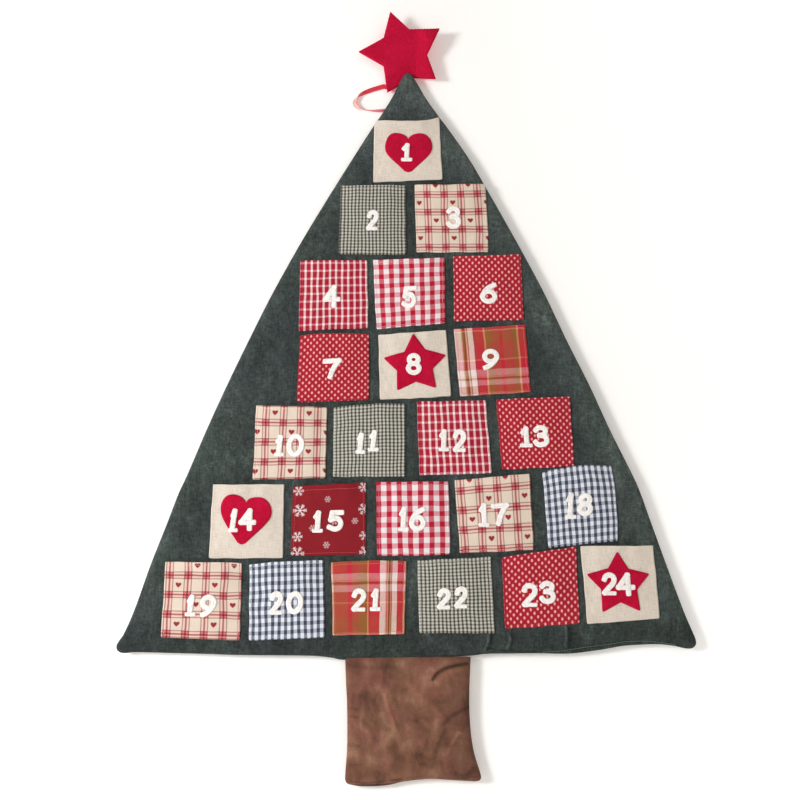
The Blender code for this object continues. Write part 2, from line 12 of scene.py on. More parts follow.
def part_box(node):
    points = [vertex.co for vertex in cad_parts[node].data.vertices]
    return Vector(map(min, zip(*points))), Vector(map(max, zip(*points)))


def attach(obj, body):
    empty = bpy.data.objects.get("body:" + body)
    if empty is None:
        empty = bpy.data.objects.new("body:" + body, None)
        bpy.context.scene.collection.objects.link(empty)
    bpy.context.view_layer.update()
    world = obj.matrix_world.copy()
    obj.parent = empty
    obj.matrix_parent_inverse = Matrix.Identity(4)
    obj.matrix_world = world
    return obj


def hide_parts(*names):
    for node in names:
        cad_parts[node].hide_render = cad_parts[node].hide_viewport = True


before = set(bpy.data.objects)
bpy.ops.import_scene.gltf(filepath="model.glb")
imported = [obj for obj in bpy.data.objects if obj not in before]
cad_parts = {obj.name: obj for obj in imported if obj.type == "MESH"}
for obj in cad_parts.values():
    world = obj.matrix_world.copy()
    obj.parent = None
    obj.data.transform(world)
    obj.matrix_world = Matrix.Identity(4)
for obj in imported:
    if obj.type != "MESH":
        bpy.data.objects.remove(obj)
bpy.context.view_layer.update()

# Camera, fitted to the photograph, whose pixels are counted from its top left corner
IMAGE_PX = 800
FOCAL_PX = 1100
SENSOR_MM = 36
CAMERA_DISTANCE = 1.401
LOOK_AT = Vector((-0.00955, -0.01255, -0.4254))
TOWARDS = Vector((0, -0.972, -0.2351)).normalized()
ACROSS = Vector((1, 0, 0))
UPWARDS = ACROSS.cross(-TOWARDS)
EYE = LOOK_AT + TOWARDS * CAMERA_DISTANCE

# Levels and thicknesses
MM = 0.001
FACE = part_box("tree_front")[0].y
CLOTH_SEEN = 0.48 * MM
FELT = 1.3 * MM
APPLIQUE = 1.5 * MM
TOUCH = 0.05 * MM
POCKET_EDGE = FACE - 1.2 * MM

# The tree's seam line in millimetres: height, left edge, right edge
TREE_EDGES = (
    (33, -5.6, 8.6), (20, -12.2, 15.8), (1.8, -20.4, 25.2), (-28, -37.2, 44.2), (-46, -48.5, 56.5),
    (-90, -74, 84), (-134, -99, 107), (-177, -123, 129), (-220, -146, 150.5), (-282, -177, 180),
    (-344, -205, 206), (-404, -231, 233), (-463, -255, 257), (-521, -277, 282.8), (-545, -287, 292),
    (-578, -298, 302), (-633, -317, 319), (-688, -334, 336.5), (-716, -345, 347),
)
TREE_TIP = ((6.4, 37.0), (2.0, 39), (-2.8, 37.0))
LEFT_CORNER = ((-350, -724), (-353.5, -730.5), (-352, -736.5), (-345, -739.5))
HEM_LINE = (
    (-330, -738.5), (-294, -739.2), (-240, -740.6), (-213, -741.6), (-180, -742), (-143, -742.2),
    (-112, -742.8), (-92, -745), (-80, -747.3), (-60, -747), (0, -745.2), (60, -743.3), (82, -742),
    (95, -740.4), (122, -740), (159, -739.6), (195, -740.1), (231, -736), (249, -733),
    (267, -730.5), (302, -729),
)
RIGHT_CORNER = ((322, -730.8), (336, -733.8), (344.5, -733.8), (349.5, -729.5), (349.5, -723))
TRUNK_LEFT = ((-76, -744), (-74.5, -775), (-73, -800), (-72.3, -845), (-74, -875))
TRUNK_FOOT = (
    (-74.5, -885), (-70, -889.5), (-45, -889.5), (-10, -887.5), (22, -884.5), (52, -885.5), (79, -887),
)
TRUNK_RIGHT = ((84.5, -886), (86, -880), (77.8, -852), (74, -820), (73.8, -785), (76, -744))

# The corners of each pocket in pixels: top left, top right, bottom right, bottom left
POCKETS_PX = (
    ((374.8, 120.9), (438.8, 117.4), (442.3, 179.3), (373.4, 182.5)),
    ((341.2, 185.9), (405.8, 185.6), (406.1, 254.5), (338.6, 254.5)),
    ((414.7, 185.0), (484.4, 184.1), (488.0, 252.0), (416.5, 252.3)),
    ((300.9, 260.9), (366.9, 260.0), (368.1, 328.1), (298.9, 330.7)),
    ((373.4, 260.0), (444.4, 257.6), (445.0, 323.2), (376.7, 329.1)),
    ((453.4, 256.4), (520.4, 254.5), (523.6, 319.8), (454.2, 320.9)),
    ((300.3, 335.6), (368.6, 334.5), (368.6, 399.8), (297.0, 402.5)),
    ((378.6, 335.1), (445.8, 329.9), (451.0, 396.3), (380.2, 399.6)),
    ((454.0, 329.2), (524.7, 324.7), (530.6, 392.1), (460.2, 396.0)),
    ((256.5, 405.3), (326.8, 407.1), (325.1, 477.7), (253.0, 479.7)),
    ((334.3, 407.8), (404.8, 403.7), (405.3, 476.1), (333.5, 476.9)),
    ((416.9, 401.9), (485.5, 400.2), (491.5, 473.1), (419.8, 475.1)),
    ((496.5, 399.5), (569.2, 396.5), (574.2, 466.3), (502.1, 469.7)),
    ((213.2, 484.7), (283.9, 484.4), (282.5, 558.3), (209.1, 558.0)),
    ((293.5, 486.5), (365.5, 482.5), (365.5, 554.2), (290.9, 555.9)),
    ((376.3, 482.2), (448.1, 481.3), (449.8, 554.5), (377.2, 556.0)),
    ((455.2, 480.3), (529.2, 473.7), (534.1, 549.8), (460.3, 553.0)),
    ((542.7, 472.7), (610.5, 466.2), (617.3, 540.7), (549.2, 547.8)),
    ((165.8, 561.6), (241.9, 562.8), (239.5, 639.8), (161.3, 637.4)),
    ((249.9, 564.3), (323.3, 560.4), (324.8, 637.1), (249.3, 640.7)),
    ((331.6, 562.4), (406.0, 561.0), (404.0, 633.9), (333.0, 635.0)),
    ((417.7, 560.3), (490.4, 556.9), (494.4, 632.9), (419.7, 633.2)),
    ((502.2, 557.6), (575.5, 546.5), (579.6, 623.3), (505.1, 628.6)),
    ((580.8, 546.4), (652.7, 545.5), (659.3, 618.0), (587.7, 624.0)),
)
LINEN, GREY, HEARTS, PANES, GINGHAM = "linen", "grey_check", "heart_plaid", "red_panes", "red_gingham"
DOTS, SNOW, NAVY, MADRAS = "red_dots", "red_snow", "navy_check", "madras"
POCKET_CLOTHS = (
    LINEN, GREY, HEARTS, PANES, GINGHAM, DOTS, DOTS, LINEN, MADRAS, HEARTS, GREY, PANES,
    DOTS, LINEN, SNOW, GINGHAM, HEARTS, NAVY, HEARTS, NAVY, MADRAS, GREY, DOTS, LINEN,
)

# Each digit: its number, then left, right, top and bottom in pixels, and its lean in degrees
DIGITS_PX = (
    (1, "1", 401.0, 412.3, 143.0, 161.8, 2), (2, "2", 365.6, 379.6, 209.6, 230.9, 4),
    (3, "3", 446.2, 461.3, 206.2, 229.2, 0), (4, "4", 322.7, 340.7, 284.8, 308.4, 0),
    (5, "5", 401.3, 417.2, 285.6, 308.9, 3), (6, "6", 480.2, 497.6, 282.5, 304.5, 0),
    (7, "7", 322.5, 341.7, 357.7, 380.0, 0), (8, "8", 406.0, 421.6, 352.8, 375.9, 0),
    (9, "9", 482.0, 499.2, 348.6, 370.9, 0), (10, "1", 273.9, 284.8, 434.6, 457.2, 4),
    (10, "0", 285.8, 305.0, 433.4, 457.6, 3), (11, "1", 355.3, 365.5, 432.5, 454.6, 5),
    (11, "1", 367.6, 379.0, 430.0, 452.2, 6), (12, "1", 438.4, 449.0, 429.0, 452.1, 2),
    (12, "2", 452.5, 466.9, 429.0, 452.9, 2), (13, "1", 520.0, 532.2, 426.2, 448.1, -3),
    (13, "3", 533.3, 549.2, 425.0, 448.1, 0), (14, "1", 228.0, 238.5, 508.5, 533.0, 7),
    (14, "4", 238.2, 256.6, 508.2, 531.8, 0), (15, "1", 311.9, 323.3, 510.4, 533.6, 3),
    (15, "5", 326.5, 344.4, 509.8, 532.5, 4), (16, "1", 397.8, 408.8, 507.0, 532.1, 3),
    (16, "6", 409.0, 426.3, 506.9, 532.2, 0), (17, "1", 478.4, 489.3, 503.0, 527.7, -2),
    (17, "7", 491.3, 509.1, 502.4, 526.8, 0), (18, "1", 565.2, 575.6, 492.6, 519.6, 5),
    (18, "8", 577.5, 593.2, 492.8, 517.0, 3), (19, "1", 184.5, 196.4, 594.6, 617.2, 6),
    (19, "9", 199.0, 217.0, 594.4, 618.3, 0), (20, "2", 268.5, 284.0, 591.0, 615.6, 2),
    (20, "0", 285.2, 304.1, 591.0, 615.3, 3), (21, "2", 350.7, 367.2, 588.2, 612.4, 3),
    (21, "1", 369.8, 380.9, 588.5, 612.0, 3), (22, "2", 436.5, 451.8, 587.9, 610.4, 4),
    (22, "2", 453.8, 468.7, 586.2, 609.2, 4), (23, "2", 521.5, 538.3, 582.8, 607.8, 2),
    (23, "3", 539.7, 555.9, 580.8, 604.9, 0), (24, "2", 601.8, 617.4, 572.2, 596.2, 3),
    (24, "4", 616.2, 635.1, 572.5, 597.1, -2),
)

# How far the middles of top edges lie above a straight line, and of a right edge beyond it, in pixels
TOP_BOWS = {1: -2.6, 2: 0.5, 7: 1.8, 11: 1.8, 18: 3.6, 20: 0.8, 21: 1}
TOP_BOW_PEAKS = {1: 0.72}
RIGHT_BOWS = {18: 2.2, 3: 1}
# Centre lines of the digits in shares of the box that they fill. A stroke is a smooth line of
# points, or an ellipse given by its middle and its two radii.
DIGIT_SHARES = {
    "0": ((0.5, 0.5, 0.5, 0.5),),
    "1": (((0.10, 0.77), (0.30, 0.86), (0.56, 1.0)), ((0.56, 1.0), (0.54, 0.0)), ((0.0, 0.0), (1.0, 0.0))),
    "2": (((0.02, 0.76), (0.14, 0.92), (0.45, 1.0), (0.80, 0.93), (0.95, 0.74), (0.82, 0.50), (0.45, 0.27),
           (0.06, 0.0)), ((0.04, 0.0), (1.0, 0.0))),
    "3": (((0.04, 0.86), (0.25, 0.98), (0.52, 1.0), (0.82, 0.93), (0.88, 0.76), (0.72, 0.60), (0.36, 0.55)),
          ((0.36, 0.55), (0.78, 0.50), (0.98, 0.30), (0.85, 0.08), (0.48, 0.0), (0.18, 0.03), (0.0, 0.16))),
    "4": (((0.68, 1.0), (0.0, 0.34)), ((0.0, 0.34), (1.0, 0.34)), ((0.68, 1.0), (0.68, 0.0))),
    "5": (((1.0, 1.0), (0.16, 0.98)), ((0.16, 0.98), (0.08, 0.56)),
          ((0.08, 0.56), (0.40, 0.66), (0.78, 0.60), (1.0, 0.34), (0.85, 0.08), (0.48, 0.0), (0.0, 0.12))),
    "6": ((0.48, 0.31, 0.48, 0.31), ((0.92, 1.0), (0.55, 0.88), (0.22, 0.66), (0.04, 0.40), (0.0, 0.30))),
    "7": (((0.0, 0.94), (1.0, 1.0)), ((1.0, 1.0), (0.62, 0.55), (0.36, 0.0))),
    "8": ((0.5, 0.765, 0.42, 0.235), (0.5, 0.265, 0.5, 0.265)),
    "9": ((0.52, 0.69, 0.48, 0.31), ((1.0, 0.70), (0.96, 0.58), (0.76, 0.34), (0.42, 0.12), (0.08, 0.0))),
}
DIGIT_STROKE = 6.5 * MM
DIGIT_FOOT = 0.76
DIGIT_TRIM = 0.9
CAP_SQUARENESS = 0.6

# Felt hearts and stars on the pockets, in pixels
HEARTS_PX = {
    1: ((408.2, 173.8), (432.3, 146.5), (420.8, 133.0), (408.2, 138.8), (395.5, 132.7), (385.0, 147.0)),
    14: ((240.5, 547.7), (271.5, 512.5), (258.3, 497.0), (246.1, 502.6), (232.8, 494.3), (220.3, 508.5)),
}
STARS_PX = {
    8: ((413.2, 333.2), (404.4, 351.6), (383.2, 357.3), (397.0, 370.5), (396.9, 390.3), (415.9, 381.5),
        (436.2, 387.6), (432.9, 368.3), (446.4, 354.2), (425.2, 349.1)),
    24: ((617.1, 551.2), (608.4, 568.0), (586.8, 574.1), (601.2, 589.0), (602.8, 612.4), (621.0, 602.4),
         (641.0, 611.2), (637.2, 589.6), (650.1, 573.6), (628.8, 568.6)),
}
STAR_TIP_RADIUS = 1.3 * MM
TOP_STAR_PX = (
    (390.2, 11.0), (383.4, 37.4), (358.4, 51.1), (383.4, 65.4), (387.2, 91.8), (413.2, 77.3),
    (436.0, 78.3), (427.2, 54.2), (439.8, 27.9), (409.4, 28.7),
)
STAR_LEAN = 16 * MM
STAR_LEAN_FROM = 25 * MM
STAR_LEAN_TO = 140 * MM
STAR_CURL = 8 * MM
STAR_CURL_REACH = 22 * MM

# The ribbon's line, the same as the solid's
RIBBON_THICKNESS = 0.5 * MM
RIBBON_WIDTH_SEEN = 6.2 * MM
RIBBON_LEANS = (
    (0.0, 5), (0.045, 80), (0.065, 115), (0.155, 116), (0.185, 70), (0.235, 12), (0.30, 25), (0.36, 42),
    (0.42, 66), (0.455, 90), (0.48, 125), (0.52, 150), (0.56, 130), (0.59, 100), (0.605, 90), (0.64, 60),
    (0.70, 42),
    (0.78, 32), (0.85, 30), (0.92, 25), (1.0, 10),
)
# How far the cloth lies beside its line, in millimetres, along the ribbon
RIBBON_SHIFTS = (
    (0.0, 0), (0.05, 0), (0.075, -1.3), (0.14, -1.3), (0.19, 1.6), (0.50, 1.6), (0.60, 0), (1.0, 0),
)
RIBBON_STEPS = 6
RIBBON_ROUTE = (
    (0.0070, 0.0052, 0.0000), (0.0000, 0.0062, 0.0000), (-0.0100, 0.0115, -0.0005),
    (-0.0200, 0.0195, -0.0011), (-0.0301, 0.0250, -0.0011), (-0.0420, 0.0222, -0.0011),
    (-0.0523, 0.0185, -0.0011), (-0.0620, 0.0141, -0.0011), (-0.0697, 0.0085, -0.0011),
    (-0.0731, 0.0010, -0.0011), (-0.0708, -0.0060, -0.0011), (-0.0640, -0.0105, -0.0011),
    (-0.0550, -0.0125, -0.0011), (-0.0448, -0.0131, -0.0011), (-0.0316, -0.0126, -0.0011),
    (-0.0200, -0.0105, -0.0011), (-0.0100, -0.0075, -0.0005), (0.0000, -0.0052, 0.0000),
    (0.0070, -0.0046, 0.0000),
)

# How long a stitch is and how far the next one starts from it, in millimetres
STITCH = 2.3
STITCH_STEP = 3.0


# Small helpers

def seen(px, py, level):
    """The point of the upright plane y = level that shows at a pixel of the photograph."""
    ray = ACROSS * (px - IMAGE_PX / 2) + UPWARDS * (IMAGE_PX / 2 - py) - TOWARDS * FOCAL_PX
    return EYE + ray * (level - EYE.y) / ray.y


PIXEL = (seen(401, 400, FACE) - seen(400, 400, FACE)).length


def flat(pixels, level):
    """The same points as x and z, for a list of pixels."""
    return [np.array(seen(x, y, level).xz) for x, y in pixels]


def cloth_size(number):
    """A pocket's mean width and height in millimetres."""
    a, b, c, d = flat(POCKETS_PX[number - 1], POCKET_EDGE)
    width, height = np.linalg.norm([b - a, c - d], axis=1), np.linalg.norm([a - d, b - c], axis=1)
    return float(width.mean() / MM), float(height.mean() / MM)


def level_at(tree, px, py):
    """The level of the surface that shows at a pixel."""
    hit = tree.ray_cast(EYE, (seen(px, py, FACE) - EYE).normalized())[0]
    return hit.y if hit else FACE


def unit(rows):
    """Directions, one or many, at length 1."""
    return rows / np.linalg.norm(rows, axis=-1, keepdims=True)


def runs_along(line):
    """How far along a line each of its points is."""
    return np.concatenate([[0], np.cumsum(np.linalg.norm(np.diff(line, axis=0), axis=1))])


def spline(points, steps, closed=False):
    """A smooth line through the points, as Catmull-Rom spans of so many steps."""
    points = [np.asarray(point, dtype=float) for point in points]
    if closed:
        ends = [points[-1], *points, points[0], points[1]]
    else:
        ends = [2 * points[0] - points[1], *points, 2 * points[-1] - points[-2]]
    line = []
    for a, b, c, d in zip(ends, ends[1:], ends[2:], ends[3:]):
        for step in range(steps):
            t = step / steps
            line.append(0.5 * (2 * b + (c - a) * t + (2 * a - 5 * b + 4 * c - d) * t**2
                               + (3 * b - a - 3 * c + d) * t**3))
    return np.array(line if closed else line + [points[-1]])


def respaced(line, gap, closed=True):
    """The line with its points about so far apart."""
    loop = np.vstack([line, line[:1]]) if closed else line
    run = runs_along(loop)
    marks = np.linspace(0, run[-1], max(2, int(run[-1] / gap)), endpoint=not closed)
    return np.column_stack([np.interp(marks, run, loop[:, i]) for i in range(line.shape[1])])


def beside(line):
    """The unit normals of a flat open line."""
    step = np.gradient(line, axis=0)
    return unit(np.column_stack([-step[:, 1], step[:, 0]]))


def line_distance(points, starts, ends=None):
    """Each point's distance to the nearest of some straight stretches, or to a closed line."""
    best = np.full(len(points), np.inf)
    for start, end in zip(starts, np.roll(starts, -1, axis=0) if ends is None else ends):
        along = end - start
        share = np.clip((points - start) @ along / max(along @ along, 1e-18), 0, 1)
        best = np.minimum(best, np.linalg.norm(points - start - share[:, None] * along, axis=1))
    return best


def inside(points, outline):
    """Which points lie within a closed outline."""
    x, y = points[:, 0], points[:, 1]
    odd = np.zeros(len(points), dtype=bool)
    for (x0, y0), (x1, y1) in zip(outline, np.roll(outline, -1, axis=0)):
        if y0 != y1:
            crossed = (y0 > y) != (y1 > y)
            odd ^= crossed & (x < x0 + (x1 - x0) * (y - y0) / (y1 - y0))
    return odd


def kept_in(points, margin, outlines, *border):
    """Those points that lie within some outlines and farther than a margin from their border."""
    points = points[np.any([inside(points, outline) for outline in outlines], axis=0)]
    return points[line_distance(points, *border) > margin]


def lattice(outline, gap):
    """Grid points over an outline's box."""
    (x0, y0), (x1, y1) = outline.min(axis=0), outline.max(axis=0)
    xs, ys = np.meshgrid(np.arange(x0 + gap / 2, x1, gap), np.arange(y0 + gap / 2, y1, gap))
    return np.column_stack([xs.ravel(), ys.ravel()])


def smooth(value):
    """A smooth rise from 0 to 1."""
    value = np.clip(value, 0, 1)
    return value * value * (3 - 2 * value)


def dome(value):
    """A rise from 0 to 1 as a quarter round."""
    return np.sqrt(np.clip(1 - (1 - np.clip(value, 0, 1)) ** 2, 0, 1))


def bell(distance, width):
    """1 at no distance, and nearly 0 from about two widths on."""
    return np.exp(-((distance / width) ** 2))


def ripple(points, size, seed):
    """Soft noise over flat points, about -1 to 1, whose bumps are of a size."""
    return np.array([noise.noise(Vector((x / size, y / size, seed))) for x, y in points])


def at_levels(flats, levels):
    """Flat points as points of space at some levels."""
    return np.column_stack([flats[:, 0], levels, flats[:, 1]])


def make_mesh(name, points, faces, material, stands_for=(), body="tree"):
    """A new piece of the object that rides on a body, takes a slot's finish and may stand for CAD nodes."""
    mesh = bpy.data.meshes.new(name)
    mesh.from_pydata([tuple(point) for point in points], [], [tuple(face) for face in faces])
    mesh.validate()
    mesh.materials.append(material)
    mesh.shade_smooth()
    piece = bpy.data.objects.new(name, mesh)
    bpy.context.scene.collection.objects.link(piece)
    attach(piece, body)
    if stands_for:
        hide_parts(*stands_for)
    return piece


def cut_flat(points, loops):
    """Flat points joined into faces within closed loops of them."""
    cut = delaunay_2d_cdt([Vector(p) for p in points], [], loops, 1, 1e-7)
    return np.array([p[:] for p in cut[0]]), [tuple(face) for face, owner in zip(cut[2], cut[5]) if owner]


def open_edges(faces):
    """The edges that only one face has, in its direction."""
    edges = set()
    for face in faces:
        edges.update((face[k - 1], face[k]) for k in range(len(face)))
    return [(a, b) for a, b in edges if (b, a) not in edges]


def two_sided(faces, count):
    """The faces of a front, and of a back whose points come so many points later."""
    return [side for face in faces for side in (face, tuple(count + i for i in reversed(face)))]


def tube_faces(first, rings, sides):
    """The faces of a tube through rings of points, closed at both ends."""
    faces = []
    for ring in range(rings - 1):
        for k in range(sides):
            a, b = first + ring * sides + k, first + ring * sides + (k + 1) % sides
            faces.append((a, b, b + sides, a + sides))
    faces.append(tuple(first + k for k in reversed(range(sides))))
    faces.append(tuple(first + (rings - 1) * sides + k for k in range(sides)))
    return faces


def surface_of(*pieces):
    """The front of some pieces as one tree of faces, modifiers included."""
    points, faces = [], []
    graph = bpy.context.evaluated_depsgraph_get()
    for piece in pieces:
        mesh = piece.evaluated_get(graph).data
        first = len(points)
        points += [piece.matrix_world @ vert.co for vert in mesh.vertices]
        faces += [[first + i for i in face.vertices] for face in mesh.polygons]
    return BVHTree.FromPolygons(points, faces)


def front_levels(tree, flats, fallback):
    """How far forward the surface is at each flat point, as a world y."""
    levels = []
    for x, z in flats:
        hit = tree.ray_cast(Vector((x, -1, z)), Vector((0, 1, 0)))[0]
        levels.append(hit.y if hit else fallback)
    return np.array(levels)


# Shader helpers

class Field:
    """A value that varies over a surface. Sums of fields become nodes."""

    def __init__(self, tree, socket):
        self.tree, self.socket = tree, socket

    def new(self, operation, *values, clamp=False):
        node = self.tree.nodes.new("ShaderNodeMath")
        node.operation = operation
        node.use_clamp = clamp
        for slot, value in zip(node.inputs, values):
            if isinstance(value, Field):
                self.tree.links.new(value.socket, slot)
            else:
                slot.default_value = value
        return Field(self.tree, node.outputs[0])

    def clamped(self):
        return self.new("ADD", self, 0, clamp=True)

    def between(self, low, high):
        """0 below the low value, 1 above the high one."""
        return ((self - low) / (high - low)).clamped()

    def under(self, limit, soft):
        """1 where the field is below a limit and 0 above it, with a soft step between."""
        return ((self * -1 + limit) / soft + 0.5).clamped()


def math_method(operation):
    """A method that puts a field, and another value where there is one, into a math node."""
    return lambda field, *other: field.new(operation, field, *other)


for method, operation in (
    ("__add__", "ADD"), ("__sub__", "SUBTRACT"), ("__mul__", "MULTIPLY"), ("__truediv__", "DIVIDE"),
    ("fraction", "FRACT"), ("whole", "FLOOR"), ("size", "ABSOLUTE"), ("sine", "SINE"), ("power", "POWER"),
    ("most", "MAXIMUM"), ("least", "MINIMUM"),
):
    setattr(Field, method, math_method(operation))


class Looks:
    """A material that is being made: one Principled shader and what feeds it."""

    def __init__(self, name, roughness=0.9, sheen=0.0, specular=0.3):
        self.material = bpy.data.materials.new(name)
        self.material.use_nodes = True
        self.tree = self.material.node_tree
        self.shader = self.tree.nodes["Principled BSDF"]
        self.shader.inputs["Roughness"].default_value = roughness
        self.shader.inputs["Sheen Weight"].default_value = sheen
        self.shader.inputs["Sheen Roughness"].default_value = 0.5
        self.shader.inputs["Specular IOR Level"].default_value = specular

    def put(self, slot, value):
        """Gives an input a field, a socket, a number or a colour."""
        if isinstance(value, Field):
            self.tree.links.new(value.socket, slot)
        elif hasattr(value, "is_output"):
            self.tree.links.new(value, slot)
        else:
            slot.default_value = (*value, 1) if slot.type == "RGBA" else value

    def node(self, kind, inputs={}, **settings):
        """A new node with its settings and some of its inputs."""
        node = self.tree.nodes.new(f"ShaderNode{kind}")
        for name, value in settings.items():
            setattr(node, name, value)
        for slot, value in inputs.items():
            self.put(node.inputs[slot], value)
        return node

    def join(self, x, y, z=0.0):
        """A vector of three fields."""
        return self.node("CombineXYZ", {0: x, 1: y, 2: z}).outputs[0]

    def noise(self, place, size, detail=3.0, roughness=0.55, distortion=0.0):
        """Noise from 0 to 1 whose bumps are so many millimetres across."""
        levels = {"Scale": 1 / size, "Detail": detail, "Roughness": roughness, "Distortion": distortion}
        return Field(self.tree, self.node("TexNoise", {"Vector": place, **levels}).outputs[0])

    def grain(self, size, detail, roughness, distortion=0.0, stretch=(1, 1, 1), turn=0):
        """Noise over the object, stretched along the axes and turned about Y."""
        place = self.node("TexCoord").outputs["Object"]
        mapping = self.node("Mapping", {0: place, "Scale": [s / MM for s in stretch]})
        mapping.inputs["Rotation"].default_value = (0, math.radians(turn), 0)
        return self.noise(mapping.outputs[0], size, detail, roughness, distortion)

    def ramp(self, field, stops, steps=False):
        """Colours from 0 to 255 along a field from 0 to 1."""
        node = self.node("ValToRGB", {0: field})
        node.color_ramp.interpolation = "CONSTANT" if steps else "LINEAR"
        elements = node.color_ramp.elements
        while len(elements) < len(stops):
            elements.new(1)
        for element, (place, colour) in zip(elements, stops):
            element.position = place
            element.color = (*srgb(*colour), 1)
        return node.outputs[0]

    def mix(self, share, first, second, blend="MIX"):
        """Two colours mixed by a share from 0 to 1."""
        inputs = {0: share, 6: first, 7: second}
        return self.node("Mix", inputs, data_type="RGBA", blend_type=blend).outputs[2]

    def times(self, first, second):
        """Two colours multiplied."""
        return self.mix(1.0, first, second, "MULTIPLY")

    def shaded(self, colour, field, amount):
        """The colour made darker and lighter by a field about 0.5, by an amount."""
        level = (field - 0.5) * (2 * amount) + 1
        return self.times(colour, self.node("CombineColor", {0: level, 1: level, 2: level}).outputs[0])

    def painted_light_and_wear(self, colour, amount):
        """The colour made darker and lighter by the painted light and shade, partly wear, that the mesh
        holds, or 0 where it holds none.
        """
        wear_and_painted_light = self.node("Attribute", attribute_name="wear_and_painted_light").outputs["Fac"]
        return self.shaded(colour, Field(self.tree, wear_and_painted_light) * 0.5 + 0.5, amount)

    def bump(self, *layers):
        """Relief from fields, each with its depth in millimetres."""
        below = None
        for field, depth in layers:
            node = self.node("Bump", {"Distance": depth * MM, "Height": field})
            if below:
                self.put(node.inputs["Normal"], below)
            below = node.outputs[0]
        self.put(self.shader.inputs["Normal"], below)

    def paint(self, colour):
        self.put(self.shader.inputs["Base Color"], colour)
        return self.material


def srgb(*channels):
    """A colour written from 0 to 255 as linear light."""
    shares = [channel / 255 for channel in channels]
    return tuple(s / 12.92 if s <= 0.04045 else ((s + 0.055) / 1.055) ** 2.4 for s in shares)


# Materials

def felt_looks(name, dark, colour, light, mottle, sheen, specular):
    """Wool felt: matted fibres in all directions over soft blotches."""
    looks = Looks(name, 0.95, sheen, specular)
    fibres = looks.grain(0.8, 4, 0.7, 0, (1, 1, 0.22), 24)
    crossed = looks.grain(0.9, 4, 0.7, 0, (0.22, 1, 1), 24)
    fuzz = looks.grain(0.35, 2, 0.6)
    nap = (fibres + crossed + fuzz) * (1 / 3)
    matted = looks.grain(3.2, 4, 0.7)
    blotch = looks.ramp(looks.grain(34, 3, 0.6, 0.4), ((0.3, dark), (0.5, colour), (0.72, light)))
    base = looks.mix(mottle, srgb(*colour), blotch)
    looks.bump((nap, 0.5), (fuzz, 0.12))
    return looks.paint(looks.shaded(base, nap.between(0.3, 0.7) * 0.5 + matted.between(0.3, 0.7) * 0.5, 0.34))


def tree_felt():
    """Dark green brushed felt with lighter wisps where the nap is rubbed."""
    looks = Looks("tree_felt_looks", 0.95, 0.03, 0.15)
    wisp = looks.grain(14, 5, 0.66, 0.6, (1, 1, 0.4), -20)
    lightness = looks.grain(60, 3, 0.55, 0.5, (0.6, 1, 1), 35)
    tint = looks.grain(110, 2, 0.5)
    fibres = looks.grain(2.4, 5, 0.75, 0, (1, 1, 0.35), -20)
    crossed = looks.grain(2.6, 5, 0.75, 0, (0.35, 1, 1), 25)
    fuzz = looks.grain(0.9, 2, 0.6)
    cloud = wisp * 0.45 + lightness * 0.25 + (fibres + crossed) * 0.15
    stops = ((0.35, (45, 51, 48)), (0.45, (55, 62, 59)), (0.54, (65, 73, 69)), (0.66, (88, 98, 92)))
    base = looks.ramp(cloud, stops)
    base = looks.mix(tint.between(0.42, 0.58), base, looks.times(base, (1.02, 0.99, 1.06)))
    nap = fibres * 0.4 + crossed * 0.35 + fuzz * 0.25
    base = looks.shaded(base, nap.between(0.3, 0.7), 0.8)
    looks.bump((nap, 1.5), (fuzz, 0.35))
    # The mesh's values add painted shade in crease valleys and along the hem, and painted light on ridges and
    # near the slanting edges.
    return looks.paint(looks.painted_light_and_wear(base, 0.75))


def suede():
    """Brown suede-like cloth with rubbed highlights and short nap."""
    looks = Looks("suede_looks", 0.8, 0.04, 0.25)
    lightness = looks.grain(20, 4, 0.5, 0.5, (1, 1, 0.7), 32)
    patch = looks.grain(40, 3, 0.55, 0.6, (0.7, 1, 1), -20)
    tint = looks.grain(22, 2, 0.5)
    nap = looks.grain(2.2, 4, 0.7)
    fuzz = looks.grain(0.7, 3, 0.65)
    stops = ((0.34, (82, 51, 40)), (0.45, (116, 74, 59)), (0.55, (134, 89, 72)), (0.67, (166, 122, 104)))
    base = looks.ramp(lightness * 0.55 + patch * 0.45, stops)
    base = looks.mix(tint.between(0.42, 0.6), base, looks.times(base, (0.93, 1.03, 0.92)))
    base = looks.shaded(base, nap.between(0.3, 0.7) * 0.6 + fuzz * 0.4, 0.2)
    looks.bump((lightness, 0.8), (nap, 0.35), (fuzz, 0.12))
    # The mesh's values add painted shade in crease valleys and on the hanging back face, painted highlight on
    # ridges, and a darker right side.
    return looks.paint(looks.painted_light_and_wear(base, 0.55))


def satin(name, low, high):
    """Satin ribbon with a fine grain and a soft gloss."""
    looks = Looks(name, 0.28, 0.1, 0.6)
    looks.shader.inputs["Coat Weight"].default_value = 0.6
    looks.shader.inputs["Coat Roughness"].default_value = 0.3
    grain = looks.grain(0.5, 2, 0.5)
    looks.bump((grain, 0.08))
    return looks.paint(looks.shaded(looks.ramp(grain, ((0.0, low), (1.0, high))), grain, 0.1))


def thread_looks(name, colour):
    """Sewing thread: two twisted plies."""
    looks = Looks(name, 0.6, 0.2)
    twist = looks.grain(0.3, 2, 0.5, turn=45)
    looks.bump((twist, 0.05))
    return looks.paint(looks.shaded(srgb(*colour), twist, 0.2))


def centred(place, period, shift):
    """The signed distance from a place to the nearest of an even row of points."""
    return (((place - shift) / period + 0.5).fraction() - 0.5) * period


def stripe(place, period, width, shift, soft=0.25):
    """1 on an even row of stripes and 0 between them."""
    return centred(place, period, shift).size().under(width / 2, soft)


YARN = 0.55


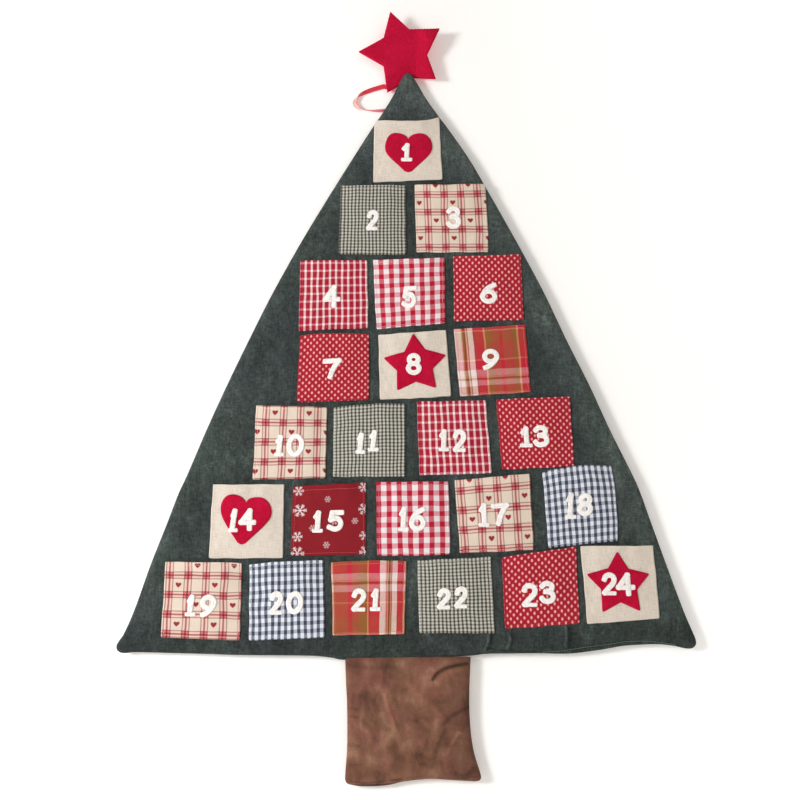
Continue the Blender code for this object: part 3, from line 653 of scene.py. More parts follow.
class Cloth(Looks):
    """Woven cloth. Its u and v are millimetres from the pocket's lower left corner."""

    def __init__(self, name, sheen=0.05, roughness=0.88):
        super().__init__(name, roughness, sheen)
        place = self.node("SeparateXYZ", {0: self.node("UVMap", uv_map="cloth").outputs[0]})
        self.u, self.v = Field(self.tree, place.outputs[0]), Field(self.tree, place.outputs[1])

    def woven(self, warp, weft, slub=0.2, warp_share=0.0):
        """Plain weave of two yarn colours, which also shine through each other, with a painted highlight on
        each yarn's crown and painted shade at its sides.
        """
        across, along = self.u / YARN, self.v / YARN
        over = stripe(across.whole() + along.whole(), 2, 1, 0.0, 0.05)
        crown_warp, crown_weft = [(place.fraction() * math.pi).sine() for place in (across, along)]
        crown = crown_warp * over + crown_weft * (over * -1 + 1)
        yarn_warp = self.noise(self.join(across.whole(), self.v * 0.05), 0.9, 1, 0.5)
        yarn_weft = self.noise(self.join(along.whole(), self.u * 0.05, 7.0), 0.9, 1, 0.5)
        threads = self.mix(over, self.shaded(weft, yarn_weft, slub), self.shaded(warp, yarn_warp, slub))
        through = self.node("Gamma", {"Gamma": 0.5, "Color": self.times(warp, weft)})
        colour = self.mix(warp_share, self.mix(0.5, threads, through.outputs[0]), warp)
        self.bump((crown, 0.09))
        # Painted highlight on the yarns' crowns and painted shade at their sides.
        return self.shaded(colour, crown * 0.5 + 0.35, 0.16)

    def finished(self, colour, wear_and_painted_light):
        """The material, with soft blotches of painted light and shade that stand for small creases in the
        cloth.
        """
        # Soft blotches of painted light and shade, standing for small creases.
        creases = self.noise(self.join(self.u, self.v, 3.0), 16, 3, 0.6, 0.4)
        return self.paint(self.shaded(colour, creases, wear_and_painted_light))


def even(*periods):
    """The stripes of a gingham, in each direction."""
    return [(period, period * 0.48, period * 0.25) for period in periods]


def check(name, ground, weft, warp, crossing, stripes, wear_and_painted_light=0.12):
    """A check of stripes in both directions, with one colour for each kind of crossing."""
    cloth = Cloth(name)
    u, v = [stripe(place, *row) for place, row in zip((cloth.u, cloth.v), stripes)]
    ground, weft, warp, crossing = [srgb(*colour) for colour in (ground, weft, warp, crossing)]
    table = cloth.mix(u, cloth.mix(v, ground, weft), cloth.mix(v, warp, crossing))
    threads = cloth.woven(cloth.mix(u, ground, crossing), cloth.mix(v, ground, crossing))
    return cloth.finished(cloth.mix(0.3, table, threads), wear_and_painted_light)


DOT_STEP_U, DOT_STEP_V, DOT_RADIUS = 8.25, 8.69, 1.2


def dots():
    """Red cotton printed with small staggered dots."""
    cloth = Cloth("red_dots_looks", 0.08)
    spots = []
    for shift in (0.0, 0.5):
        du = centred(cloth.u, DOT_STEP_U, DOT_STEP_U * (shift + 0.1))
        dv = centred(cloth.v, DOT_STEP_V, DOT_STEP_V * (shift + 0.2))
        spots.append((du * du + dv * dv * 0.55).power(0.5).under(DOT_RADIUS, 0.8))
    ground = cloth.woven(srgb(176, 20, 44), srgb(163, 16, 38))
    return cloth.finished(cloth.mix(reduce(Field.most, spots) * 0.95, ground, srgb(252, 186, 182)), 0.14)


PLAID_U, PLAID_V, PLAID_BAND, PLAID_HEART = 22.1, 25.0, 9.2, 6.4
# The plaid's fine lines: width, distance from the band's middle and tint
PLAID_LINES = ((1.4, -4.1, (0.56, 0.50, 0.48)), (1.4, 4.1, (0.56, 0.50, 0.48)), (2.1, 0, (0.52, 0.27, 0.28)))


def heart_mask(du, dv):
    """1 inside a small printed heart round the origin of du and dv."""
    x = du.size() / PLAID_HEART
    lifted = dv * 1.25 / PLAID_HEART + 0.12 - x.power(0.6) * 0.66
    return (x * x + lifted * lifted).power(0.5).under(0.55, 0.12)


def heart_plaid():
    """Cream cotton with red plaid lines and a small heart in every other pane."""
    cloth = Cloth("heart_plaid_looks")
    places = ((cloth.u, PLAID_U), (cloth.v, PLAID_V))
    side_u, side_v = [stripe(place, step * 2, step, step * 0.5, 0.6) for place, step in places]
    band_u, band_v = [stripe(place, step, PLAID_BAND, 0, 0.4) for place, step in places]
    table = cloth.mix((side_u + side_v) * 0.5, srgb(230, 212, 194), srgb(224, 207, 188))
    table = cloth.mix(band_u.most(band_v), table, srgb(230, 194, 180))
    table = cloth.mix(band_u * band_v, table, srgb(218, 118, 124))
    for place, step in places:
        for width, shift, tint in PLAID_LINES:
            table = cloth.times(table, cloth.mix(stripe(place, step, width, shift, 0.4), (1, 1, 1), tint))
    hearts = []
    for half in (0.5, 1.5):
        hearts.append(heart_mask(*[centred(place, step * 2, step * half) for place, step in places]))
    colour = cloth.mix(reduce(Field.most, hearts), cloth.woven(table, table), srgb(160, 44, 54))
    return cloth.finished(colour, 0.1)


# Each snowflake's middle and size on the cloth; the large ones are crisper
SNOW_PLACES = (
    (7.0, 81.5, 6.4), (9.4, 56.5, 8.4), (7.4, 23.5, 6.5), (7.4, 2.5, 8.6), (88.5, 82, 6.4), (89, 55, 7.2),
    (90, 22.5, 6.4), (90.5, 2.5, 7.4), (43.5, 68.8, 3.9), (77.5, 40.7, 4.0), (25.5, 34, 3.9), (43, 12.5, 4.2),
    (52.5, 42, 5.0),
)
LARGE_FLAKE = 5


def flake(cloth, x, y, size):
    """1 on a six-armed snowflake print round a place."""
    du, dv = cloth.u - x, cloth.v - y
    arms = []
    for turn in (0, 60, 120):
        cosine, sine = math.cos(math.radians(turn)), math.sin(math.radians(turn))
        along, aside = (du * cosine + dv * sine).size(), (du * -sine + dv * cosine).size()
        end = along * -1 + size
        arms.append((aside * -1 + size * 0.07).least(end))
        for out in (0.45, 0.72):
            barb = (along - aside - size * out).size() * -1 + size * 0.07
            arms.append(barb.least(aside * -1 + size * 0.26).least(end))
    soft, strength = (0.22, 1) if size > LARGE_FLAKE else (0.5, 0.8)
    return (reduce(Field.most, arms) / soft + 0.5).clamped() * strength


def snow():
    """Deep red cotton printed with snowflakes down both sides and a few small ones between."""
    cloth = Cloth("red_snow_looks", 0.08)
    flakes = reduce(Field.most, [flake(cloth, *place) for place in SNOW_PLACES])
    ground = cloth.woven(srgb(144, 18, 31), srgb(134, 20, 31))
    return cloth.finished(cloth.mix(flakes * 0.9, ground, srgb(240, 226, 224)), 0.14)


WHITE, PALE, BEIGE = (242, 224, 220), (228, 208, 206), (222, 176, 150)
RUST, OLIVE, BROWN = (172, 72, 54), (146, 94, 44), (124, 56, 38)
RED, WINE, LINE = (196, 34, 56), (156, 44, 56), (226, 146, 104)
# The bands of each madras pocket from its left side and from its foot, as the shares where they start
MADRAS_SHARES = {
    9: (
        ((0.00, WHITE), (0.085, BEIGE), (0.10, OLIVE), (0.125, BROWN), (0.145, BEIGE), (0.168, OLIVE),
         (0.18, WHITE), (0.255, WINE), (0.28, RED), (0.40, LINE), (0.425, OLIVE), (0.50, RUST), (0.62, RED),
         (0.67, RUST), (0.81, OLIVE), (0.87, LINE), (0.895, RED)),
        ((0.00, BEIGE), (0.016, RUST), (0.13, PALE), (0.20, BEIGE), (0.215, BROWN), (0.245, BEIGE),
         (0.28, PALE), (0.365, RED), (0.50, LINE), (0.52, RUST), (0.77, OLIVE), (0.94, BEIGE), (0.955, RED)),
    ),
    21: (
        ((0.00, BEIGE), (0.016, RUST), (0.21, RED), (0.27, RUST), (0.36, OLIVE), (0.48, LINE), (0.50, RED),
         (0.65, WHITE), (0.725, BEIGE), (0.74, RED), (0.752, BEIGE), (0.765, BROWN), (0.79, BEIGE),
         (0.80, OLIVE), (0.815, WHITE), (0.885, RED), (0.98, BEIGE)),
        ((0.00, BEIGE), (0.016, OLIVE), (0.24, RUST), (0.40, OLIVE), (0.42, LINE), (0.44, RUST), (0.58, PALE),
         (0.665, BEIGE), (0.68, BROWN), (0.715, BEIGE), (0.75, PALE), (0.83, RED), (0.95, OLIVE)),
    ),
}


def madras(number):
    """Madras plaid: broad white, red, rust and olive bands that cross."""
    cloth = Cloth(f"madras_looks_{number:02d}")
    sides = zip((cloth.u, cloth.v), cloth_size(number), MADRAS_SHARES[number])
    warp, weft = [cloth.ramp(place / size, bands, steps=True) for place, size, bands in sides]
    return cloth.finished(cloth.woven(warp, weft, warp_share=0.3), 0.12)


def linen():
    """Natural linen: uneven beige yarns with slubs and flecks."""
    cloth = Cloth("linen_looks", 0.1, 0.9)
    u, v = cloth.u, cloth.v
    slub_u = cloth.noise(cloth.join(u * 1.4, v * 0.09), 1.0, 3, 0.6)
    slub_v = cloth.noise(cloth.join(u * 0.09, v * 1.4, 5.0), 1.0, 3, 0.6)
    warp = cloth.ramp(slub_u, ((0.3, (190, 177, 160)), (0.5, (222, 209, 194)), (0.7, (238, 228, 214))))
    weft = cloth.ramp(slub_v, ((0.3, (200, 187, 170)), (0.5, (225, 212, 197)), (0.7, (240, 230, 217))))
    tint = cloth.noise(cloth.join(u, v, 9.0), 9, 3, 0.6)
    return cloth.paint(cloth.shaded(cloth.woven(warp, weft, 0.1), tint, 0.09))


CLOTH_LOOKS = {
    LINEN: linen(),
    GREY: check("grey_check_looks", (206, 202, 190), (160, 156, 145), (106, 104, 94), (62, 61, 52),
                even(4.75, 4.75)),
    HEARTS: heart_plaid(),
    PANES: check("red_panes_looks", (169, 19, 45), (214, 112, 128), (240, 196, 196), (247, 238, 234),
                 ((8.15, 2.8, 3.0, 0.5), (10.7, 2.7, 3.0, 0.5)), 0.14),
    GINGHAM: check("red_gingham_looks", (240, 232, 230), (232, 166, 178), (204, 84, 102), (182, 14, 42),
                   even(12.67, 12.3)),
    DOTS: dots(),
    SNOW: snow(),
    NAVY: check("navy_check_looks", (228, 232, 239), (182, 186, 199), (104, 108, 124), (60, 64, 82),
                even(7.8, 9.4)),
}
FELT_LOOKS = {
    "red_felt": felt_looks("red_felt_looks", (170, 8, 44), (190, 12, 53), (206, 24, 66), 0.5, 0.02, 0.12),
    "white_felt": felt_looks("cream_felt_looks", (246, 238, 230), (254, 249, 244), (255, 253, 250),
                             0.2, 0.03, 0.3),
}
GREEN_FELT = tree_felt()
BROWN_SUEDE = suede()
RED_SATIN = satin("satin_looks", (202, 16, 44), (230, 34, 62))
# The ribbon's reverse side is painted pale pink as a painted highlight, which shows where the ribbon twists
# at its turn.
SATIN_REVERSE_HIGHLIGHT = satin("satin_reverse_highlight_looks", (222, 160, 150), (240, 190, 182))
THREADS = {
    LINEN: (224, 212, 196), GREY: (188, 184, 170), HEARTS: (236, 208, 190), PANES: (206, 70, 90),
    GINGHAM: (232, 180, 190), DOTS: (190, 50, 70), SNOW: (204, 92, 96), NAVY: (204, 208, 222),
    MADRAS: (214, 130, 104), "green": (92, 122, 104), "digit": (243, 238, 228),
}
THREAD_LOOKS = {name: thread_looks(f"{name}_thread", colour) for name, colour in THREADS.items()}

# Padded pieces

STAR_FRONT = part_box("star_topper")[0].y
STAR_BEHIND = 8 * MM
RIM_SHARES = (0.05, 0.13, 0.25, 0.40, 0.60, 0.80, 1.0)
LIP = 0.9 * MM
SEAM_DEPTH = 0.5 * MM


def pad(part, outline, rim, gap, relief, creases, lightness, droop, material):
    """Two felt or suede faces sewn together at their edge round a filling."""
    low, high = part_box(f"{part}_front")
    seam, half = high.y, high.y - low.y
    chords = np.roll(outline, -1, axis=0) - np.roll(outline, 1, axis=0)
    normals = unit(np.column_stack([chords[:, 1], -chords[:, 0]]))
    points = [outline]
    for share in RIM_SHARES:
        step = max(1, round(share * rim * 0.6 / np.linalg.norm(outline[1] - outline[0])))
        ring = (outline - normals * share * rim)[::step]
        points.append(kept_in(ring, 0.97 * share * rim, [outline], outline))
    points.append(kept_in(lattice(outline, gap), rim + gap / 2, [outline], outline))
    points.append(kept_in(crease_points(creases), 1 * MM, [outline], outline))
    flats, cut_faces = cut_flat(np.vstack(points), [list(range(len(outline)))])
    away = line_distance(flats, outline)
    lift = dome(away / rim)
    puckers = ripple(flats, 7 * MM, 3.7) * np.exp(-away / (8 * MM)) * 0.35 * MM
    folds, hang = creased(flats, creases), droop(flats)
    swell = ripple(flats, 40 * MM, 9.1) * 0.25 * MM - 0.25 * MM
    front = seam - np.maximum(LIP, (half + relief(flats) + folds + puckers) * lift)
    back = seam + np.maximum(LIP, (half + swell) * lift)
    back = np.where(flats[:, 1] > STAR_BEHIND, np.minimum(back, STAR_FRONT - TOUCH), back)
    count = len(flats)
    places = [*at_levels(flats, front), *(at_levels(flats, back) - np.outer(hang, (0, 0, 1)))]
    faces = two_sided(cut_faces, count)
    border = open_edges(cut_faces)
    outward = {tuple(np.round(place, 7)): normal for place, normal in zip(outline, normals)}
    groove = {}
    for a, _ in border:
        x, z = flats[a] - outward.get(tuple(np.round(flats[a], 7)), np.zeros(2)) * SEAM_DEPTH
        groove[a] = len(places)
        places.append((x, seam, z))
    for a, b in border:
        faces.append((b, a, groove[a], groove[b]))
        faces.append((count + a, count + b, groove[b], groove[a]))
    nodes = [f"{part}_{layer}" for layer in ("front", "back", "wadding")]
    piece = make_mesh(f"{part}_pad", places, faces, material, nodes, part)
    # Each point holds painted light and shade for the material: painted shade in crease valleys and painted
    # highlight on ridges, the lighter and darker parts given for the piece, and painted shade on the back
    # face where it hangs.
    wear_and_painted_light = piece.data.attributes.new("wear_and_painted_light", "FLOAT", "POINT")
    front_painted_light = np.clip(folds / PAINTED_LIGHT_RELIEF, -1, 1) + lightness(flats)
    wear_and_painted_light.data.foreach_set("value", [*front_painted_light, *(hang / -FOOT_DROOP), *[0.0] * len(groove)])
    return piece


def tree_outline():
    """The tree's seam line, anticlockwise from the tip."""
    left = [(low, z) for z, low, _ in TREE_EDGES]
    right = [(high, z) for z, _, high in reversed(TREE_EDGES)]
    points = [*TREE_TIP[1:], *left, *LEFT_CORNER, *HEM_LINE, *RIGHT_CORNER, *right, TREE_TIP[0]]
    return respaced(spline(np.array(points) * MM, 10, closed=True), 3 * MM)


def trunk_outline():
    """The trunk's seam line, anticlockwise from its top left corner."""
    sides = [spline(np.array(side) * MM, 8) for side in (TRUNK_LEFT, TRUNK_FOOT, TRUNK_RIGHT)]
    top = np.array([(x, -743.5) for x in range(70, -71, -5)]) * MM
    return respaced(np.vstack([*sides, top]), 2 * MM)


# Folds and creases: points in pixels, then their depth (below zero for a ridge) and width in millimetres
HEM_FOLDS_PX = (
    ((485.2, 650.0), (488.4, 641.0), (489.4, 633.0), -2.6, 1.7),
    ((489.6, 649.0), (492.0, 641.0), (492.6, 634.0), 0.7, 2.6),
    ((507.0, 648.5), (510.4, 641.0), (509.4, 633.0), -2.4, 1.7),
    ((511.0, 648.5), (514.2, 641.0), (513.4, 634.0), 0.6, 2.6),
    ((565.6, 645.0), (566.4, 636.0), (566.0, 627.0), -2.8, 1.7),
    ((570.0, 646.0), (571.4, 636.0), (571.0, 627.0), 0.8, 2.8),
    ((588.0, 640.0), (590.6, 633.0), (592.0, 627.0), -1.8, 3.4),
    ((300.0, 650.0), (303.0, 642.0), (301.0, 634.0), -0.9, 2.6),
    ((212.0, 650.0), (215.0, 641.0), (214.0, 632.0), -0.9, 2.4),
    ((486.0, 647.0), (502.0, 650.2), (543.0, 652.0), (564.0, 650.6), (587.3, 646.9), (606.4, 644.7),
     (628.4, 641.5), (650.4, 641.4), (672.4, 644.0), (678.0, 645.8), 0.9, 1.3),
)
CREASE_ROWS = (-1.6, -1.0, -0.5, 0, 0.5, 1.0, 1.6)
CREASE_CELL = 0.7 * MM
# The crease relief that gets the full painted shade in a valley and the full painted highlight on a ridge.
PAINTED_LIGHT_RELIEF = 2.2 * MM


def crease_points(creases):
    """Rows of points along creases, close enough together to hold their shape."""
    rows = []
    for *pixels, _, width in creases:
        line = respaced(spline(flat(pixels, FACE), 6), 1.2 * MM, closed=False)
        rows += [line + beside(line) * share * width * MM for share in CREASE_ROWS]
    rows = np.vstack(rows)
    return rows[np.unique(np.round(rows / CREASE_CELL), axis=0, return_index=True)[1]]


def creased(flats, creases):
    """Valleys, or ridges where their depth is below zero, each along a line and so deep and so wide."""
    relief = np.zeros(len(flats))
    for *pixels, depth, width in creases:
        line = spline(flat(pixels, FACE), 6)
        relief -= depth * MM * bell(line_distance(flats, line[:-1], line[1:]), width * MM)
    return relief


def tree_relief(flats):
    """The gentle ups and downs of the tree's front."""
    return (ripple(flats, 90 * MM, 1.3) * 0.8 + ripple(flats, 30 * MM, 5.2) * 0.5) * MM


def tree_painted_light(flats):
    """Painted light on the felt: how much lighter it is painted near its slanting edges, away from the shade
    between the pockets, and how much darker along the hem, as painted shade.
    """
    left, right = slants(flats[:, 1])
    from_left, from_right = flats[:, 0] - left, right - flats[:, 0]
    hem = smooth((-690 * MM - flats[:, 1]) / (30 * MM))
    edges = 0.3 * (1 - smooth(from_left / (40 * MM))) + 0.8 * (1 - smooth(from_right / (60 * MM)))
    return edges * (1 - hem) - 0.22 * hem


def no_droop(flats):
    """The back face ends level with the front one."""
    return np.zeros(len(flats))


TRUNK_CREASES_PX = (
    ((433.0, 679.8), (438.0, 673.4), (445.5, 668.6), (455.0, 665.8), (467.5, 663.8), 2.6, 2.0),
    ((437.8, 683.0), (444.0, 676.5), (455.0, 671.5), (468.0, 669.0), -1.0, 4.0),
    ((444.4, 724.1), (452.7, 715.8), (461.0, 710.8), (468.5, 706.7), 1.3, 2.8),
    ((384.7, 694.2), (388.0, 705.8), (392.2, 717.4), (395.5, 729.0), -1.4, 2.8),
    ((374.8, 699.2), (379.8, 714.1), (386.4, 727.4), 0.9, 3.2),
    ((396.0, 700.0), (401.0, 712.0), (403.0, 726.0), 0.8, 3.4),
    ((409.6, 686.0), (422.9, 699.2), (436.1, 707.5), -0.8, 5.0),
    ((459.4, 732.4), (454.4, 740.7), (448.6, 752.3), -1.4, 2.6),
    ((446.1, 730.7), (439.5, 744.0), (434.5, 758.9), 1.2, 3.2),
    ((422.9, 719.1), (427.8, 730.7), (422.9, 744.0), -0.8, 4.0),
    ((363.2, 719.1), (373.1, 730.7), (376.4, 739.0), 0.8, 3.0),
    ((349.0, 708.3), (353.0, 708.3), (358.2, 709.0), 0.9, 1.6),
    ((349.0, 716.0), (353.0, 716.0), (358.2, 717.0), 0.8, 1.6),
    ((349.0, 745.6), (354.0, 745.6), (360.2, 746.0), 0.8, 1.8),
    ((349.0, 765.5), (354.0, 765.0), (361.2, 764.0), 0.8, 1.8),
    ((347.0, 665.0), (370.0, 667.0), (396.0, 666.0), 0.8, 3.0),
    ((402.0, 778.8), (422.9, 776.5), (454.4, 778.8), (479.3, 776.3), 0.7, 1.1),
    # A groove along the left of the foot, which the painted crease shade turns into a dark line between the
    # front edge and the hanging back face.
    ((350.5, 781.8), (366.0, 783.0), (384.0, 781.4), (402.0, 779.2), 1.7, 0.9),
)


def trunk_relief(flats):
    """The trunk's soft swellings."""
    return (ripple(flats, 24 * MM, 2.2) * 0.8 + ripple(flats, 11 * MM, 8.4) * 0.3) * MM


def trunk_darker_right(flats):
    """The trunk is darker at its right."""
    return -0.42 * smooth((flats[:, 0] - 20 * MM) / (50 * MM))


# The back face is painted darker where it hangs, in step with the hang, as painted shade below the front
# edge.
FOOT_DROOP = 3.4 * MM
FOOT_DROOP_PX = (374, 782)


def trunk_droop(flats):
    """The back face hangs a little below the front one at the left of the foot."""
    across, up = (flats - flat([FOOT_DROOP_PX], FACE)[0]).T
    return FOOT_DROOP * np.exp(-((across / (27 * MM)) ** 4)) * smooth(1 - np.abs(up) / (15 * MM))


# Pockets

EDGE_STEPS = (0, 0.35, 0.9, 1.6, 2.2, 2.7, 3.3, 4.4, 6.2, 8.6)
CLOTH_GRID = 2.6
STITCH_LINE = 2.7
TOP_STITCHES = {SNOW: 6.0}
TOP_STITCH = 3.6
CORNERS = {DOTS: (3.2, 1.5)}
CORNER = (1.8, 1.2)
# How each pocket's pattern lies: its shift from the left and lower edges in millimetres, and its sizes
PATTERNS = {
    2: (0.0, 4.3, 1.0, 0.942), 3: (-5.7, 6.7, 1.002, 1.003), 4: (3.9, 4.2, 0.985, 0.98),
    5: (6.1, 1.3, 1.033, 1.056), 6: (-1.0, -6.1, 1.035, 1.068), 7: (1.2, 1.6, 1.006, 0.988),
    10: (13.3, 21.9, 0.986, 0.995), 11: (2.3, 5.9, 1.006, 0.919), 12: (3.9, -1.7, 0.985, 1.021),
    13: (2.4, 3.9, 1.009, 1.023),
    16: (-1.1, 8.3, 1.037, 1.065), 17: (-15.9, 3.2, 1.012, 1.005), 18: (3.0, 7.6, 0.98, 1.0),
    19: (6.0, 4.6, 1.016, 0.945), 20: (2.5, 5.8, 1.011, 1.04), 22: (2.6, 4.4, 1.022, 0.889),
    23: (6.6, 0.2, 1.012, 1.054),
}

# How a pocket's cloth stands off the felt, in millimetres
FOLD_HEIGHT, FOLD_ROUND = 1.45, 0.9
SEAM_DENT, LINEN_DENT, SEAM_DENT_WIDTH = 0.4, 0.15, 0.7
BELLY, MOUTH = 1.7, 1.6
MOUTH_REACH = 34
HEM_RISE, HEM_DENT, HEM_DENT_WIDTH = 0.25, 0.2, 0.6


def margins(size):
    """Distances across a cloth: close together at its edges, then evenly spaced."""
    first = EDGE_STEPS[-1]
    inner = size - 2 * first
    count = round(inner / CLOTH_GRID)
    spread = [first + inner * i / count for i in range(1, count)]
    return np.array([*EDGE_STEPS, *spread, *(size - step for step in reversed(EDGE_STEPS))])


def rounded(u, v, width, height, low, high):
    """Places on a cloth with those near its corners moved inwards on rounds of two radii."""
    for right in (False, True):
        for top, radius in ((False, low), (True, high)):
            a = radius - (width - u if right else u)
            b = radius - (height - v if top else v)
            share = np.where((a > 0) & (b > 0), np.maximum(a, b) / np.maximum(np.hypot(a, b), 1e-9), 1)
            move_u, move_v = a * (1 - share), b * (1 - share)
            u = u - move_u if right else u + move_u
            v = v - move_v if top else v + move_v
    return u, v


def slants(heights):
    """Where the tree's left and right edges are at some heights."""
    marks, left, right = np.array(sorted(TREE_EDGES)).T * MM
    return np.interp(heights, marks, left), np.interp(heights, marks, right)


def held_in(spots):
    """Places moved in where they would lie beyond the tree's slanting edges."""
    left, right = slants(spots[:, 1])
    return np.column_stack([np.clip(spots[:, 0], left + 1.2 * MM, right - 1.2 * MM), spots[:, 1]])


def pocket_shape(number, tree):
    """A pocket's grid of points and its places on the cloth in millimetres."""
    cloth = POCKET_CLOTHS[number - 1]
    width, height = cloth_size(number)
    us, vs = margins(width), margins(height)
    u, v = np.meshgrid(us, vs)
    place_u, place_v = rounded(u, v, width, height, *CORNERS.get(cloth, CORNER))
    s, t = (place_u / width)[..., None], (place_v / height)[..., None]
    top_left, top_right, low_right, low_left = flat(POCKETS_PX[number - 1], POCKET_EDGE)
    flats = (low_left + (low_right - low_left) * s) * (1 - t) + (top_left + (top_right - top_left) * s) * t
    bent = s ** (math.log(0.5) / math.log(TOP_BOW_PEAKS.get(number, 0.5)))
    flats[..., 1] += (TOP_BOWS.get(number, 0) * PIXEL * 4 * bent * (1 - bent) * t**2)[..., 0]
    flats[..., 0] += (RIGHT_BOWS.get(number, 0) * PIXEL * 4 * t * (1 - t) * s**2)[..., 0]
    spots = flats.reshape(-1, 2)
    wobble = np.column_stack([ripple(spots, 21 * MM, number + 0.3), ripple(spots, 17 * MM, number + 40.3)])
    spots = held_in(spots + wobble * 0.8 * MM)
    side, top = np.minimum(u, width - u), height - v
    sewn = np.minimum(side, v)
    fold = FOLD_HEIGHT * dome(sewn / FOLD_ROUND)
    dent = (LINEN_DENT if cloth == LINEN else SEAM_DENT) * bell(sewn - STITCH_LINE, SEAM_DENT_WIDTH)
    slack = smooth((side - 3) / 22) * smooth((v - 3) / 26)
    near_top = smooth(1 - top / MOUTH_REACH)
    belly = BELLY * slack + near_top * smooth((side - 2) / 26) * MOUTH
    creases = ripple(spots, 15 * MM, number + 9.5).reshape(u.shape) * (0.35 + 0.9 * near_top) * slack
    soft = ripple(spots, 33 * MM, number + 70.5).reshape(u.shape) * 0.7 * slack
    hem_at = TOP_STITCHES.get(cloth, TOP_STITCH)
    hem = HEM_RISE * smooth((hem_at + 1 - top) / 1.2) - HEM_DENT * bell(top - hem_at, HEM_DENT_WIDTH)
    rise = (0.1 + fold - dent + belly + creases + soft + hem * smooth(side / 3)) * MM
    stands = TOUCH + np.maximum(rise.ravel(), 0.1 * MM)
    nearer = (front_levels(tree, spots, FACE) - stands - POCKET_EDGE) / (POCKET_EDGE - EYE.y)
    spots = held_in(spots + (spots - np.array(EYE.xz)) * nearer[:, None])
    level = front_levels(tree, spots, FACE) - stands
    return at_levels(spots, level).reshape(*u.shape, 3), us, vs


def make_pocket(number, tree):
    """A pocket: cotton turned under on three sides, hemmed and open at the top."""
    cloth = POCKET_CLOTHS[number - 1]
    width, height = cloth_size(number)
    points, us, vs = pocket_shape(number, tree)
    rows, columns = points.shape[:2]
    corners = [i * columns + j for i in range(rows - 1) for j in range(columns - 1)]
    faces = [(a, a + 1, a + columns + 1, a + columns) for a in corners]
    material = madras(number) if cloth == MADRAS else CLOTH_LOOKS[cloth]
    nodes = [f"pocket_{number:02d}"]
    piece = make_mesh(f"pocket_cloth_{number:02d}", points.reshape(-1, 3), faces, material, nodes)
    layer = piece.data.uv_layers.new(name="cloth")
    shift_u, shift_v, size_u, size_v = PATTERNS.get(number, (0, 0, 1, 1))
    grid = [((u - shift_u) / size_u, (v - shift_v) / size_v) for v in vs for u in us]
    for loop in piece.data.loops:
        layer.data[loop.index].uv = grid[loop.vertex_index]
    thick = piece.modifiers.new("thickness", "SOLIDIFY")
    thick.thickness = CLOTH_SEEN
    thick.offset = 1
    hem_at = height - TOP_STITCHES.get(cloth, TOP_STITCH)
    seam_u = np.arange(4, width - 4, STITCH_STEP)
    seam_v = np.arange(4, height - 4, STITCH_STEP)
    stitches = [((u, v), (u + STITCH, v)) for v in (STITCH_LINE, hem_at) for u in seam_u]
    stitches += [((u, v), (u, v + STITCH)) for u in (STITCH_LINE, width - STITCH_LINE) for v in seam_v]
    out = np.array((0, CLOTH_SEEN + 0.05 * MM, 0))
    runs = [[sample(points, us, vs, end) - out for end in stitch] for stitch in stitches]
    make_stitches(f"pocket_stitches_{number:02d}", runs, 0.27 * MM, cloth)
    return piece


def sample(points, us, vs, at):
    """The point of a pocket's grid at a place on its cloth."""
    j = int(np.clip(np.searchsorted(us, at[0]) - 1, 0, len(us) - 2))
    i = int(np.clip(np.searchsorted(vs, at[1]) - 1, 0, len(vs) - 2))
    s = (at[0] - us[j]) / (us[j + 1] - us[j])
    t = (at[1] - vs[i]) / (vs[i + 1] - vs[i])
    low = points[i, j] * (1 - s) + points[i, j + 1] * s
    high = points[i + 1, j] * (1 - s) + points[i + 1, j + 1] * s
    return low * (1 - t) + high * t


# Rings along a stitch: where they are in shares of its length, and their radius and depth in its radii
STITCH_RINGS = ((0.0, 0.3, 0.5), (0.15, 0.85, 0.1), (0.5, 1.0, -0.1), (0.85, 0.85, 0.1), (1, 0.3, 0.5))
STITCH_SIDES = 6


def make_stitches(name, runs, radius, thread):
    """Short stitches of thread, each a round bar that dips into the cloth at both ends."""
    points, faces = [], []
    for start, end in runs:
        along = unit(end - start)
        aside = unit(np.cross(along, (0, 1, 0)))
        out = np.cross(aside, along)
        faces += tube_faces(len(points), len(STITCH_RINGS), STITCH_SIDES)
        for share, size, sink in STITCH_RINGS:
            middle = start + (end - start) * share + np.array((0, sink * radius, 0))
            for k in range(STITCH_SIDES):
                angle = 2 * math.pi * k / STITCH_SIDES
                points.append(middle + (aside * math.cos(angle) + out * math.sin(angle)) * radius * size)
    make_mesh(name, points, faces, THREAD_LOOKS[thread])


HEM_SEAM_PX = HEM_FOLDS_PX[-1][2:-2]


def sewn_line(line, surface, length, step, fallback):
    """Stitches along a flat open line on a surface, as their starts and ends."""
    marks = respaced(line, step, closed=False)
    ends = marks[:-1] + (marks[1:] - marks[:-1]) * length / step
    sides = [at_levels(spots, front_levels(surface, spots, fallback)) for spots in (marks[:-1], ends)]
    return list(zip(*sides))


def make_hem_seam(surface):
    """The light green thread of the seam that turns up onto the front along the right part of the hem."""
    runs = sewn_line(spline(flat(HEM_SEAM_PX, FACE), 8), surface, 2.8 * MM, 3.1 * MM, FACE)
    make_stitches("hem_stitches", runs, 0.42 * MM, "green")


# Felt shapes

# The sewn line in a felt shape, and where rows of points lie beside it and rings in its rolled edge
GROOVE_DEPTH = 0.2 * MM
GROOVE_WIDTH = 0.5 * MM
GROOVE_ROWS = (-1.6, -0.8, 0, 0.8, 1.6)
ROLL_RINGS = (0.12, 0.45, 1)


